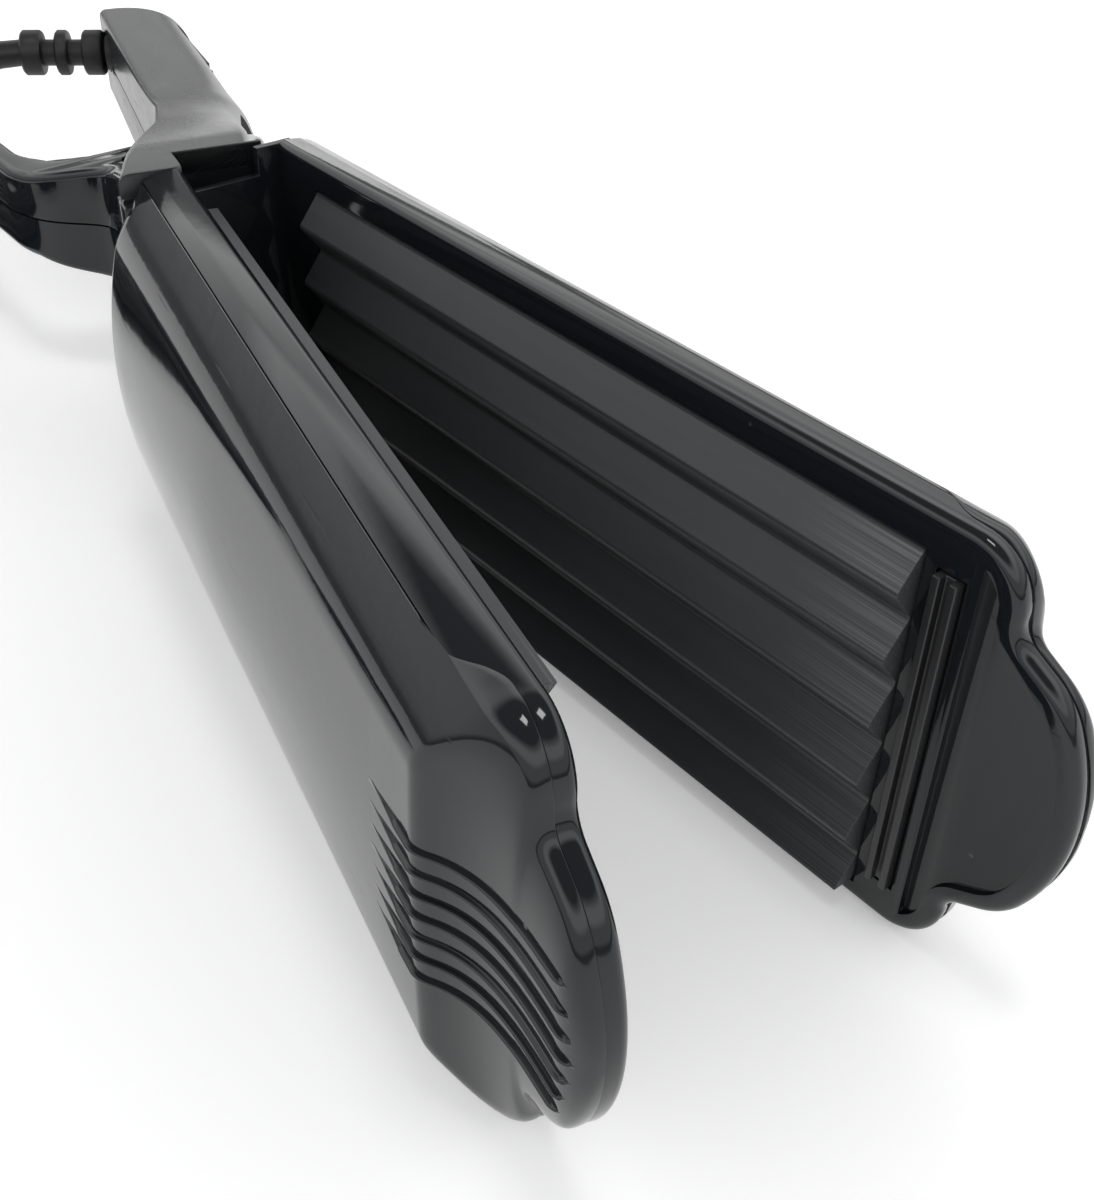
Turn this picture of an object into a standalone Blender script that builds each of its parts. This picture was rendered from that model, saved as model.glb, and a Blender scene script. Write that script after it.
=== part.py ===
# Hair crimper with two ridged plates, built like a pair of pliers that lies on its side.
# The origin is on the lower hinge ear's flat face, on the table, and the jaws point along +X.
# The code measures from the upright pivot, and everything is then moved as one.
# Body A is the jaw on the -Y side with the main handle, body B the other jaw with the finger lever.
# Both are modelled closed, where their plates mesh, and body B is then turned open about the pivot.
import math

import bmesh
import bpy
from mathutils import Matrix, Vector

for old in list(bpy.data.objects):
    bpy.data.objects.remove(old, do_unlink=True)

# Fits and modelling
SEAT_GAP = 0.0003  # between pieces that rest on each other
RUN_GAP = 0.0004  # between pieces that move past each other
OVERRUN = 0.004  # how far a cutter runs past what it cuts
CORNER_POINTS = 4

# Ridged plates
RIDGE_PITCH = 0.0080
RIDGE_HALVES = 11
RIDGE_HEIGHT = 0.0028
RIDGE_FLAT = 0.0005
PLATE_LENGTH = 0.1015
PLATE_SETBACK = 0.0042  # jaw root to the plates' far ends
PLATE_BACK = 0.0025
PLATE_FLANGE = 0.0008
PLATE_SHIFT = -0.0008
FLANGE_FRONT = 0.0016
MESH_GAP = 0.0004  # crest to valley when the jaws are closed

# Hinge and jaws as a whole
OPEN_ANGLE = math.radians(14.4)
HINGE_OFFSET = 0.0081  # pivot axis to the middle between the closed jaws
FACE_GAP = 0.0034  # between the jaws' parting faces when closed
JAW_HALF_HEIGHT = 0.0254
JAW_ROOT_B = 0.0456
ROOT_LEAD = 0.0007  # jaw A starts this much nearer the tips than jaw B

# Bell outline of a jaw's tip
SHOULDER_REACH = 0.0108  # beyond the plates' near ends, as the other reaches are
SHOULDER_RADIUS = 0.0065
NECK_RADIUS = 0.0032
NECK_TURN = math.radians(62)
NECK_RUN = 0.0025
CORNER_RADIUS = 0.0090
CORNER_TURN = math.radians(28)

# Side profile of a jaw
ROOT_DEPTH = 0.0128
TIP_DEPTH = 0.0102
TAPER_SETBACK = 0.0445
BACK_CORNER_REACH = 0.0010
FLARE_LENGTH = 0.0047
TONGUE_DEPTH = 0.0049
TIP_ROUND = 0.0035
ROOT_ROUND = 0.0060
BODY_FULLNESS = 2.5
TONGUE_FULLNESS = 3.2

# Front frame and back shell of a jaw
SEAM_DEPTH = 0.0053
TONGUE_SEAM = 0.0023
SEAM_STEP_REACH = 0.0032
SEAM_STEP_CLEARANCE = 0.0006
FRAME_EDGE = 0.0011
FRAME_DRAFT = 0.0010
SHELL_WALL = 0.0018
CAVITY_SETBACK = 0.0040
PANEL_REACH = 0.0064
PANEL_RIM = 0.0022
PANEL_DEPTH = 0.0009

# Double barrier strip between plate and tongue
STRIP_REACH = 0.0019
STRIP_WIDTH = 0.0028
STRIP_HALF_HEIGHT = 0.0200
STRIP_DEPTH = 0.0012
BAR_WIDTH = 0.0009
BAR_PROUD = 0.0010

# Grip ribs on the tips
RIB_COUNT = 7
RIB_PITCH = 0.0027
RIB_WIDTH = 0.0012
RIB_PROUD = 0.0011
RIB_SUNK = 0.0010
RIB_SETBACK = 0.0046
RIB_MARGIN = 0.0015
RIB_STATIONS = 15

# Heater and its clamp behind each plate
HEATER_SETBACK = 0.0108
HEATER_HALF_HEIGHT = 0.0125
HEATER_DEPTH = 0.0020
CLAMP_SETBACK = 0.0058
CLAMP_HALF_HEIGHT = 0.0148
CLAMP_SHEET = 0.0010
CLAMP_LIP = 0.0016

# Main handle
HANDLE_END = -0.0840
HANDLE_HALF_HEIGHT = 0.0082
GRIP_HALF_HEIGHT = 0.0108
FLARE_START = -0.0180
FLARE_SETBACK = 0.0030
HANDLE_INNER_END = 0.0042
HANDLE_INNER_ROOT = 0.0
HANDLE_THICKNESS = 0.0168
HANDLE_END_ROUND = 0.0060
HANDLE_TOP_ROUND = 0.0075
EDGE_ROUND = 0.0014
HANDLE_WALL = 0.0020
EAR_THICKNESS = 0.0032
REST_AHEAD = 0.0010
REST_Y = -0.0090
EAR_LEFT = 0.0180
EAR_CORNER_Y = -0.0076
POCKET_BACK = -0.0138
TAB_THICKNESS = 0.0029
TAB_WIDTH = 0.0025

# Pivot and spring
PIN_RADIUS = 0.0040
PIN_SEAT = 0.0020
HUB_RADIUS = 0.0130
SPRING_RADIUS = 0.0066
SPRING_WIRE = 0.0014
SPRING_TURNS = 3
SPRING_PITCH = 0.0021
SPRING_CHAMBER = 0.0096
SPRING_LEG = 0.0050
SPRING_HOOK = 0.0012
SPRING_LOOP_POINTS = 10

# Crossing block and finger lever
WALL_SETBACK = 0.0046
WALL_STEP = 0.0002
BLOCK_LEFT = 0.0200
BLOCK_SIDE = 0.0215
BLOCK_RIGHT = 0.0055
LEVER_END = -0.0760
LEVER_OUTER = -0.0230
LEVER_THICKNESS = 0.0048
LEVER_HALF_HEIGHT = 0.0070
LEVER_CURL = 0.0050
LEVER_ROUND = 0.0016
SLOPE_ALLOWANCE = 0.0060

# Switch, lamp and board in the handle
SWITCH_X = -0.0640
SWITCH_LENGTH = 0.0170
SWITCH_HALF_HEIGHT = 0.0042
SWITCH_FLANGE = 0.0010
SWITCH_FLANGE_THICKNESS = 0.0012
SWITCH_BODY_DEPTH = 0.0075
SWITCH_WALL = 0.0014
FLAT_MARGIN = 0.0012
FLAT_DEPTH = 0.0022
ROCKER_PROUD = 0.0020
ROCKER_TILT = math.radians(7)
ROCKER_AXLE = 0.0012
LENS_X = -0.0475
LENS_RADIUS = 0.0022
LENS_LENGTH = 0.0040
BOARD_START = -0.0440
BOARD_LENGTH = 0.0200
BOARD_THICKNESS = 0.0016

# Screws
SCREW_HEAD_RADIUS = 0.0027
SCREW_HEAD = 0.0018
SCREW_RADIUS = 0.0013
BOSS_RADIUS = 0.0034
SCREW_SINK = 0.0012
SCREW_REACH = 0.0045
HANDLE_SCREW_XS = (-0.0500, -0.0180)
LEVER_SCREW_SETBACK = 0.0130
LEVER_SCREW_Y = -0.0080

# Strain relief, cord and plug
CORD_RADIUS = 0.0025
RELIEF_X = -0.0787
RELIEF_ANGLE = math.radians(20)
RELIEF_CORE = 0.0029
RELIEF_RING = 0.0043
RELIEF_RINGS = ((0.0019, 0.0048), (0.0090, 0.0033), (0.0145, 0.0050))
RELIEF_LENGTH = 0.0270
RELIEF_NECK = 0.0034
RELIEF_COLLAR = 0.0052
RELIEF_COLLAR_LENGTH = 0.0016
COIL_CENTRE = Vector((-0.0500, -0.0840, 0.0))
COIL_RADIUS = 0.0300
COIL_TURNS = 9.3
COIL_LOOP_POINTS = 24
COIL_STEP = 0.0056
COIL_LAYER = 0.0056
COIL_ENTRY_ANGLE = math.pi
CORD_LEAD = 0.0040  # straight run out of the strain relief and into the coil
CORD_POINTS = 30
TAIL_LENGTH = 0.0360
TAIL_SWAY = 0.0070
TAIL_POINTS = 8
PLUG_RADIUS = 0.0085
PLUG_LENGTH = 0.0340
PLUG_NECK_LENGTH = 0.0120
PLUG_FLANGE = 0.0030
PIN_LENGTH = 0.0190
BLADE_RADIUS = 0.0020
PIN_SPACING = 0.0190

# Worked out from the sizes above
PLATE_HALF_HEIGHT = RIDGE_PITCH * RIDGE_HALVES / 4
JAW_ROOT_A = JAW_ROOT_B + ROOT_LEAD
PLATE_FAR = JAW_ROOT_A + PLATE_SETBACK
PLATE_NEAR = PLATE_FAR + PLATE_LENGTH
TAPER_START = PLATE_FAR + TAPER_SETBACK
BACK_CORNER_X = PLATE_NEAR + BACK_CORNER_REACH
SEAM_STEP_X = PLATE_NEAR + SEAM_STEP_REACH
CAVITY_END = PLATE_NEAR - CAVITY_SETBACK
PANEL_START = PLATE_NEAR + PANEL_REACH
STRIP_START = PLATE_NEAR + STRIP_REACH
SHOULDER_X = PLATE_NEAR + SHOULDER_REACH
RIB_START = PLATE_NEAR - RIB_SETBACK
FACE_A = -HINGE_OFFSET - FACE_GAP / 2
FACE_B = -HINGE_OFFSET + FACE_GAP / 2
CREST_B = RIDGE_HEIGHT
CREST_A = FACE_GAP - MESH_GAP
NECK_Z = JAW_HALF_HEIGHT - SHOULDER_RADIUS
CORNER_REACH = NECK_RADIUS + CORNER_RADIUS
CORNER_MIDDLE = (
    SHOULDER_X + NECK_RADIUS + NECK_RUN * math.sin(NECK_TURN) - CORNER_REACH * math.cos(NECK_TURN),
    NECK_Z - NECK_RUN * math.cos(NECK_TURN) - CORNER_REACH * math.sin(NECK_TURN),
)
TONGUE_RADIUS = CORNER_RADIUS + CORNER_MIDDLE[1] / math.sin(CORNER_TURN)
TONGUE_X = CORNER_MIDDLE[0] - (TONGUE_RADIUS - CORNER_RADIUS) * math.cos(CORNER_TURN)
TIP_X = TONGUE_X + TONGUE_RADIUS
CENTRE_Z = JAW_HALF_HEIGHT
EAR_RADIUS = JAW_ROOT_B - RUN_GAP
EAR_FRONT = JAW_ROOT_A - SEAT_GAP
WALL_X = JAW_ROOT_B - WALL_SETBACK
FLARE_END = WALL_X - FLARE_SETBACK
LEVER_SCREW_X = WALL_X - LEVER_SCREW_SETBACK
REST_POINT = (WALL_X + REST_AHEAD, REST_Y)  # flat of the lower ear that lies on the table


def material(name, color, roughness, metallic=0.0):
    made = bpy.data.materials.new(name)
    made.use_nodes = True
    shader = made.node_tree.nodes["Principled BSDF"]
    shader.inputs["Base Color"].default_value = (*color, 1.0)
    shader.inputs["Roughness"].default_value = roughness
    shader.inputs["Metallic"].default_value = metallic
    return made


GLOSS_BLACK = material("gloss_black_plastic", (0.012, 0.012, 0.014), 0.12)
SATIN_BLACK = material("satin_black_plastic", (0.02, 0.02, 0.022), 0.35)
PLATE_GREY = material("coated_plate", (0.055, 0.06, 0.065), 0.42, 0.6)
STEEL = material("steel", (0.55, 0.55, 0.57), 0.3, 1.0)
CERAMIC = material("heater_ceramic", (0.75, 0.7, 0.6), 0.7)
RUBBER = material("black_rubber", (0.015, 0.015, 0.015), 0.6)
LAMP = material("lamp_lens", (0.55, 0.03, 0.02), 0.2)
BOARD = material("board", (0.05, 0.22, 0.1), 0.5)

pivot = bpy.data.objects.new("pivot", None)
bpy.context.scene.collection.objects.link(pivot)
pivot.location = (-REST_POINT[0], -REST_POINT[1], 0.0)
lever_pivot = bpy.data.objects.new("lever_pivot", None)
bpy.context.scene.collection.objects.link(lever_pivot)
lever_pivot.parent = pivot
lever_pivot.rotation_euler = (0, 0, OPEN_ANGLE)


def finish_object(name, bm, surface, on_lever=False, flat=False):
    bmesh.ops.recalc_face_normals(bm, faces=bm.faces)
    mesh = bpy.data.meshes.new(name)
    bm.to_mesh(mesh)
    bm.free()
    if surface is not None:
        mesh.materials.append(surface)
    if not flat:
        mesh.shade_smooth()
        mesh.set_sharp_from_angle(angle=math.radians(35))
    made = bpy.data.objects.new(name, mesh)
    bpy.context.scene.collection.objects.link(made)
    made.parent = lever_pivot if on_lever else pivot
    return made


def skin(rings):
    """A closed solid through rings of points that all have the same count."""
    bm = bmesh.new()
    rows = [[bm.verts.new(point) for point in ring] for ring in rings]
    for row, following in zip(rows, rows[1:]):
        for i in range(len(row)):
            j = (i + 1) % len(row)
            bm.faces.new((row[i], row[j], following[j], following[i]))
    bm.faces.new(rows[0])
    bm.faces.new(reversed(rows[-1]))
    return bm


def box(low, high):
    corners = [(low[0], low[1]), (high[0], low[1]), (high[0], high[1]), (low[0], high[1])]
    return skin([[(x, y, z) for x, y in corners] for z in (low[2], high[2])])


def rod(centre, radius, low, high, points=24):
    """An upright round bar."""
    angles = [math.tau * i / points for i in range(points)]
    ring = [(centre[0] + radius * math.cos(a), centre[1] + radius * math.sin(a)) for a in angles]
    return skin([[(x, y, z) for x, y in ring] for z in (low, high)])


def turned(profile, start, direction, points=20):
    """A round solid: profile holds (distance along the axis, radius)."""
    axis = Vector(direction).normalized()
    side = axis.orthogonal().normalized()
    other = axis.cross(side)
    rings = []
    for along, radius in profile:
        middle = Vector(start) + axis * along
        angles = [math.tau * i / points for i in range(points)]
        rings.append([middle + (side * math.cos(a) + other * math.sin(a)) * radius for a in angles])
    return skin(rings)


def shape_with(target, tool, operation):
    """Leaves a Boolean modifier on the target and hides the tool."""
    tool.hide_render = True
    tool.display_type = "WIRE"
    change = target.modifiers.new(tool.name, "BOOLEAN")
    change.operation = operation
    change.solver = "EXACT"
    change.object = tool


def cut(target, name, bm, on_lever=False):
    shape_with(target, finish_object(name, bm, None, on_lever), "DIFFERENCE")


def join(target, name, bm, on_lever=False):
    shape_with(target, finish_object(name, bm, None, on_lever), "UNION")


def smooth_step(low, high, x):
    share = min(max((x - low) / (high - low), 0.0), 1.0)
    return share * share * (3 - 2 * share)


def between(table, x):
    """Straight-line value at x of a table of (x, value)."""
    for (x0, v0), (x1, v1) in zip(table, table[1:]):
        if x <= x1:
            return v0 + (v1 - v0) * max(x - x0, 0.0) / (x1 - x0)
    return table[-1][1]


# Shape of a jaw, in the jaw's own terms: x along it, depth away from the other jaw, z from its middle


def half_outline(inset, root, steps):
    """Upper half of the bell outline as (x, z) points, drawn in by inset, from the root to the tip."""
    points = [(root, JAW_HALF_HEIGHT - inset)]

    def add_arc(centre, radius, start, end):
        for i in range(steps + 1):
            angle = start + (end - start) * i / steps
            points.append((centre[0] + radius * math.cos(angle), centre[1] + radius * math.sin(angle)))

    add_arc((SHOULDER_X - SHOULDER_RADIUS, NECK_Z), SHOULDER_RADIUS - inset, math.pi / 2, 0.0)
    points.pop()
    add_arc((SHOULDER_X + NECK_RADIUS, NECK_Z), NECK_RADIUS + inset, math.pi, math.pi + NECK_TURN)
    add_arc(CORNER_MIDDLE, CORNER_RADIUS - inset, NECK_TURN, CORNER_TURN)
    points.pop()
    add_arc((TONGUE_X, 0.0), TONGUE_RADIUS - inset, CORNER_TURN, 0.0)
    return points


def outline(x, inset=0.0):
    """Half height of the bell outline at x, drawn in by inset."""
    return between(half_outline(inset, 0.0, CORNER_POINTS * 4), x)


def outline_ring(inset, root):
    """Points of the whole bell outline, from the root round the tip and back."""
    half = half_outline(inset, root, CORNER_POINTS)
    return half + [(x, -z) for x, z in reversed(half[:-1])]


def back_depth(x, root):
    """How far the back of the jaw stands behind its parting face, along its middle."""
    depth = between(((TAPER_START, ROOT_DEPTH), (BACK_CORNER_X, TIP_DEPTH)), x)
    if x > BACK_CORNER_X:
        depth = TONGUE_DEPTH + (TIP_DEPTH - TONGUE_DEPTH) * math.exp((BACK_CORNER_X - x) / FLARE_LENGTH)
    if x < root + ROOT_ROUND:
        short = (root + ROOT_ROUND - x) / ROOT_ROUND
        depth -= ROOT_ROUND * (1 - math.sqrt(max(1 - short * short, 0.0)))
    if x > TIP_X - TIP_ROUND:
        past = (x - TIP_X + TIP_ROUND) / TIP_ROUND
        depth = TONGUE_SEAM + (depth - TONGUE_SEAM) * math.sqrt(max(1 - past * past, 0.0))
    return depth


def fullness(x):
    return BODY_FULLNESS + (TONGUE_FULLNESS - BODY_FULLNESS) * smooth_step(TAPER_START, BACK_CORNER_X, x)


def surface_depth(x, z, root):
    """Depth of the jaw's back at x and z."""
    power = fullness(x)
    share = min(abs(z) / outline(x), 1.0)
    return back_depth(x, root) * (1 - share**power) ** (1 / power)


def section(x, base, root, wall=0.0, points=18):
    """Points (depth, z) of the jaw's cross section behind the depth base."""
    power = fullness(x)
    deep = back_depth(x, root) - wall
    wide = outline(x) - wall
    limit = math.acos(min((base / deep) ** (power / 2), 1.0))
    ring = []
    for i in range(points + 1):
        angle = -limit + 2 * limit * i / points
        side = math.copysign(abs(math.sin(angle)) ** (2 / power), angle)
        ring.append((deep * abs(math.cos(angle)) ** (2 / power), wide * side))
    return ring


def jaw_stations(root):
    rounded = [root + ROOT_ROUND * share for share in (0.12, 0.35, 0.65, 1.0)]
    middle = [TAPER_START, (TAPER_START + BACK_CORNER_X) / 2, BACK_CORNER_X]
    flare = [BACK_CORNER_X + FLARE_LENGTH * 0.2, SEAM_STEP_X - SEAT_GAP, SEAM_STEP_X]
    flare += [BACK_CORNER_X + FLARE_LENGTH * share for share in (0.9, 1.4, 1.8, 2.0)]
    neck = [SHOULDER_X + NECK_RADIUS * share for share in (0.02, 0.15, 0.4)]
    tip = [TIP_X - TIP_ROUND * share for share in (2.1, 1.6, 1.25, 0.95, 0.65, 0.4, 0.2, 0.07)]
    return rounded + middle + flare + neck + tip


def placed(face, away):
    """Turns (x, depth, z) of a jaw into a point of the closed pliers."""
    return lambda x, depth, z: (x, face + away * depth, CENTRE_Z + z)


def seam_at(x):
    return SEAM_DEPTH if x < SEAM_STEP_X else TONGUE_SEAM


def jaw_shell(name, place, root, on_lever):
    """Back shell with its grip ribs, open towards the front frame."""
    rings = []
    for x in jaw_stations(root):
        base = seam_at(x) + SEAT_GAP
        rings.append([place(x, depth, z) for depth, z in section(x, base, root)])
    shell = finish_object(name, skin(rings), GLOSS_BLACK, on_lever)
    hollow = []
    inner = [root + SHELL_WALL + ROOT_ROUND * share for share in (0.1, 0.4, 1.0)]
    for x in inner + [TAPER_START, CAVITY_END]:
        ring = section(x, SEAM_DEPTH, root, SHELL_WALL, 12)
        front = [(SEAM_DEPTH - OVERRUN / 4, ring[-1][1]), (SEAM_DEPTH - OVERRUN / 4, ring[0][1])]
        hollow.append([place(x, depth, z) for depth, z in ring + front])
    cut(shell, name + "_hollow", skin(hollow), on_lever)
    for number in range(RIB_COUNT):
        z = (number - (RIB_COUNT - 1) / 2) * RIB_PITCH
        join(shell, f"{name}_rib_{number + 1}", grip_rib(place, root, z), on_lever)
    return shell


def grip_rib(place, root, z):
    """A low ridge that follows the back, the flare and the tongue."""
    rings = []
    end = max(x for x, high in half_outline(RIB_MARGIN, root, CORNER_POINTS * 4) if high >= abs(z))
    for i in range(RIB_STATIONS):
        share = i / (RIB_STATIONS - 1)
        x = RIB_START + (end - RIB_START) * share
        step = RIB_WIDTH / 10
        slope = (surface_depth(x + step, z, root) - surface_depth(x - step, z, root)) / (2 * step)
        out = Vector((-slope, 1.0)).normalized()
        foot = Vector((x, surface_depth(x, z, root)))
        swell = min(1.0, (math.sin(math.pi * share) * 3) ** 0.5)
        low = foot - out * RIB_SUNK
        high = foot + out * (RIB_PROUD * swell - RIB_SUNK / 2 * (1 - swell))
        ring = [(low, -RIB_WIDTH), (high, -RIB_WIDTH / 2), (high, RIB_WIDTH / 2), (low, RIB_WIDTH)]
        rings.append([place(point[0], point[1], z + across / 2) for point, across in ring])
    return skin(rings)


def jaw_frame(name, place, root, on_lever):
    """Front frame round the plate, with the sunk panel in its tongue."""
    corner_share = 1 - math.sqrt(0.5)
    levels = [(FRAME_EDGE, 0.0), (FRAME_EDGE * corner_share, FRAME_EDGE * corner_share)]
    levels += [(0.0, FRAME_EDGE), (FRAME_DRAFT / 3, SEAM_DEPTH * 2 / 3), (FRAME_DRAFT, SEAM_DEPTH)]
    rings = [[place(x, depth, z) for x, z in outline_ring(inset, root)] for inset, depth in levels]
    frame = finish_object(name, skin(rings), GLOSS_BLACK, on_lever)

    def block(low, high):
        a, b = place(*low), place(*high)
        return box([min(a[i], b[i]) for i in range(3)], [max(a[i], b[i]) for i in range(3)])

    opening = PLATE_HALF_HEIGHT + SEAT_GAP
    pocket = opening + PLATE_FLANGE
    low = (PLATE_FAR - SEAT_GAP, -OVERRUN, PLATE_SHIFT - opening)
    high = (PLATE_NEAR + SEAT_GAP, SEAM_DEPTH + OVERRUN, PLATE_SHIFT + opening)
    cut(frame, name + "_window", block(low, high), on_lever)
    low = (low[0] - PLATE_FLANGE, FLANGE_FRONT, PLATE_SHIFT - pocket)
    high = (high[0] + PLATE_FLANGE, SEAM_DEPTH + OVERRUN, PLATE_SHIFT + pocket)
    cut(frame, name + "_pocket", block(low, high), on_lever)
    low = (STRIP_START - SEAT_GAP, -OVERRUN, -STRIP_HALF_HEIGHT - SEAT_GAP)
    high = (STRIP_START + STRIP_WIDTH + SEAT_GAP, STRIP_DEPTH + SEAT_GAP, STRIP_HALF_HEIGHT + SEAT_GAP)
    cut(frame, name + "_strip_seat", block(low, high), on_lever)
    low = (SEAM_STEP_X - SEAM_STEP_CLEARANCE, TONGUE_SEAM, -JAW_HALF_HEIGHT - OVERRUN)
    high = (TIP_X + OVERRUN, SEAM_DEPTH + OVERRUN, JAW_HALF_HEIGHT + OVERRUN)
    cut(frame, name + "_tongue_step", block(low, high), on_lever)
    panel = [(PANEL_START, z) for z in (outline(PANEL_START, PANEL_RIM),)]
    panel += [point for point in outline_ring(PANEL_RIM, root) if point[0] > PANEL_START and point[1] >= 0]
    panel += [(x, -z) for x, z in reversed(panel) if z > 0]
    rings = [[place(x, depth, z) for x, z in panel] for depth in (-OVERRUN, PANEL_DEPTH)]
    cut(frame, name + "_panel", skin(rings), on_lever)
    return frame


def ridged_plate(name, place, crest, crest_first, on_lever):
    """Ridged plate with a flange that the frame holds."""
    front = []
    for half in range(RIDGE_HALVES + 1):
        z = PLATE_HALF_HEIGHT - half * RIDGE_PITCH / 2
        is_crest = (half % 2 == 0) == crest_first
        depth = -crest if is_crest else RIDGE_HEIGHT - crest
        upper = min(z + RIDGE_FLAT / 2, PLATE_HALF_HEIGHT)
        lower = max(z - RIDGE_FLAT / 2, -PLATE_HALF_HEIGHT)
        front += [(depth, upper), (depth, lower)]
    wide = PLATE_HALF_HEIGHT + PLATE_FLANGE
    flange = FLANGE_FRONT + SEAT_GAP
    back = flange + PLATE_BACK / 2
    ring = front + [(flange, -PLATE_HALF_HEIGHT), (flange, -wide), (back, -wide)]
    ring += [(back, wide), (flange, wide), (flange, PLATE_HALF_HEIGHT)]
    bm = skin([[place(x, depth, z + PLATE_SHIFT) for depth, z in ring] for x in (PLATE_FAR, PLATE_NEAR)])
    return finish_object(name, bm, PLATE_GREY, on_lever, flat=True)


def barrier_strip(name, place, on_lever):
    """Two low bars on a common foot."""
    gap = STRIP_WIDTH - 2 * BAR_WIDTH
    edges = [0.0, BAR_WIDTH, BAR_WIDTH + gap, STRIP_WIDTH]
    profile = [(0.0, STRIP_DEPTH), (0.0, -BAR_PROUD), (edges[1], -BAR_PROUD), (edges[1], 0.0)]
    profile += [(edges[2], 0.0), (edges[2], -BAR_PROUD), (edges[3], -BAR_PROUD), (edges[3], STRIP_DEPTH)]
    ends = (-STRIP_HALF_HEIGHT, STRIP_HALF_HEIGHT)
    bm = skin([[place(STRIP_START + x, depth, z) for x, depth in profile] for z in ends])
    return finish_object(name, bm, SATIN_BLACK, on_lever, flat=True)


def heater_parts(suffix, place, on_lever):
    """Heating element and the sheet channel that presses it on the plate's back."""
    front = FLANGE_FRONT + SEAT_GAP + PLATE_BACK / 2 + SEAT_GAP
    ends = (PLATE_FAR + HEATER_SETBACK, PLATE_NEAR - HEATER_SETBACK)
    ring = [(front, -HEATER_HALF_HEIGHT), (front, HEATER_HALF_HEIGHT)]
    ring += [(front + HEATER_DEPTH, HEATER_HALF_HEIGHT), (front + HEATER_DEPTH, -HEATER_HALF_HEIGHT)]
    bm = skin([[place(x, depth, z) for depth, z in ring] for x in ends])
    finish_object("heating_element_" + suffix, bm, CERAMIC, on_lever, flat=True)
    inner = front + HEATER_DEPTH + SEAT_GAP
    outer = inner + CLAMP_SHEET
    lip = CLAMP_HALF_HEIGHT - CLAMP_SHEET
    ring = [(front, CLAMP_HALF_HEIGHT), (outer, CLAMP_HALF_HEIGHT), (outer, -CLAMP_HALF_HEIGHT)]
    ring += [(front, -CLAMP_HALF_HEIGHT), (front, -lip), (inner, -lip), (inner, lip), (front, lip)]
    ends = (PLATE_FAR + CLAMP_SETBACK, PLATE_NEAR - CLAMP_SETBACK)
    bm = skin([[place(x, depth, z) for depth, z in ring] for x in ends])
    finish_object("heater_clamp_" + suffix, bm, STEEL, on_lever, flat=True)


# Main handle with the two hinge ears


def handle_inner(x):
    """Inner side of handle and ears, towards the lever."""
    table = (
        (HANDLE_END, HANDLE_INNER_END),
        (FLARE_START, HANDLE_INNER_ROOT),
        (0.0, -EAR_LEFT * 0.22),
        (FLARE_END * 0.58, -EAR_LEFT * 0.59),
        (WALL_X, -EAR_LEFT * 0.92),
        (EAR_FRONT, -EAR_LEFT),
    )
    return between(table, x)


def handle_outer(x):
    """Outer side of handle and ears."""
    root = HANDLE_INNER_ROOT + HANDLE_THICKNESS
    table = (
        (HANDLE_END, HANDLE_INNER_END + HANDLE_THICKNESS * 0.98),
        (FLARE_START, root),
        (0.0, root * 0.7),
        (FLARE_END * 0.8, root * 0.2),
        (EAR_RADIUS - EDGE_ROUND, -root * 0.04),
        (EAR_RADIUS - EDGE_ROUND / 2, EAR_CORNER_Y),
        (EAR_FRONT, FACE_A),
    )
    return between(table, x)


def handle_height(x):
    grip = between(((HANDLE_END, HANDLE_HALF_HEIGHT), (FLARE_START, GRIP_HALF_HEIGHT)), x)
    share = min(max((x - FLARE_START) / (FLARE_END - FLARE_START), 0.0), 1.0)
    rise = share * 0.8 + smooth_step(FLARE_START, FLARE_END, x) * 0.2
    return grip + (JAW_HALF_HEIGHT - GRIP_HALF_HEIGHT) * rise


def handle_section(x, wall=0.0, base=0.0):
    """Points (y, z) of the upper half's cross section at x."""
    inner = handle_inner(x) + wall
    outer = handle_outer(x) - wall
    high = handle_height(x) - wall
    blend = 1 - smooth_step(FLARE_START, FLARE_END, x)
    wide = min(EDGE_ROUND + (HANDLE_TOP_ROUND - EDGE_ROUND) * blend, (outer - inner) * 0.6)
    tall = min(EDGE_ROUND + (high - EDGE_ROUND) * blend * 0.9, high * 0.95)
    if x < HANDLE_END + HANDLE_END_ROUND:
        short = (HANDLE_END + HANDLE_END_ROUND - x) / HANDLE_END_ROUND
        outer -= HANDLE_END_ROUND * (1 - math.sqrt(max(1 - short * short, 0.0)))
    ring = [(inner, base), (inner, high - EDGE_ROUND)]
    for i in range(1, CORNER_POINTS):
        angle = math.pi / 2 * i / CORNER_POINTS
        ring.append((inner + EDGE_ROUND * (1 - math.cos(angle)), high - EDGE_ROUND * (1 - math.sin(angle))))
    ring.append((inner + EDGE_ROUND, high))
    for i in range(2 * CORNER_POINTS + 1):
        angle = math.pi / 2 * i / (2 * CORNER_POINTS)
        ring.append((outer - wide * (1 - math.sin(angle)), high - tall * (1 - math.cos(angle))))
    ring.append((outer, base))
    return ring


def handle_stations():
    end = [HANDLE_END + HANDLE_END_ROUND * share for share in (0.03, 0.15, 0.4, 1.0)]
    grip = [(HANDLE_END + FLARE_START) / 2, FLARE_START]
    run = FLARE_END - FLARE_START
    flare = [FLARE_START + run * share for share in (0.15, 0.3, 0.42, 0.55, 0.7, 0.85, 1.0)]
    front = [WALL_X, EAR_RADIUS - EDGE_ROUND, EAR_RADIUS - EDGE_ROUND / 2, EAR_FRONT]
    return end + grip + flare + front


def mirrored(sign):
    """Places (x, y, z) of an upper half in the upper or lower half."""
    return lambda x, y, z: (x, y, CENTRE_Z + sign * z)


def upright(sign, centre, radius, low, high, points=16):
    a = CENTRE_Z + sign * low
    b = CENTRE_Z + sign * high
    return rod(centre, radius, min(a, b), max(a, b), points)


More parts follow.
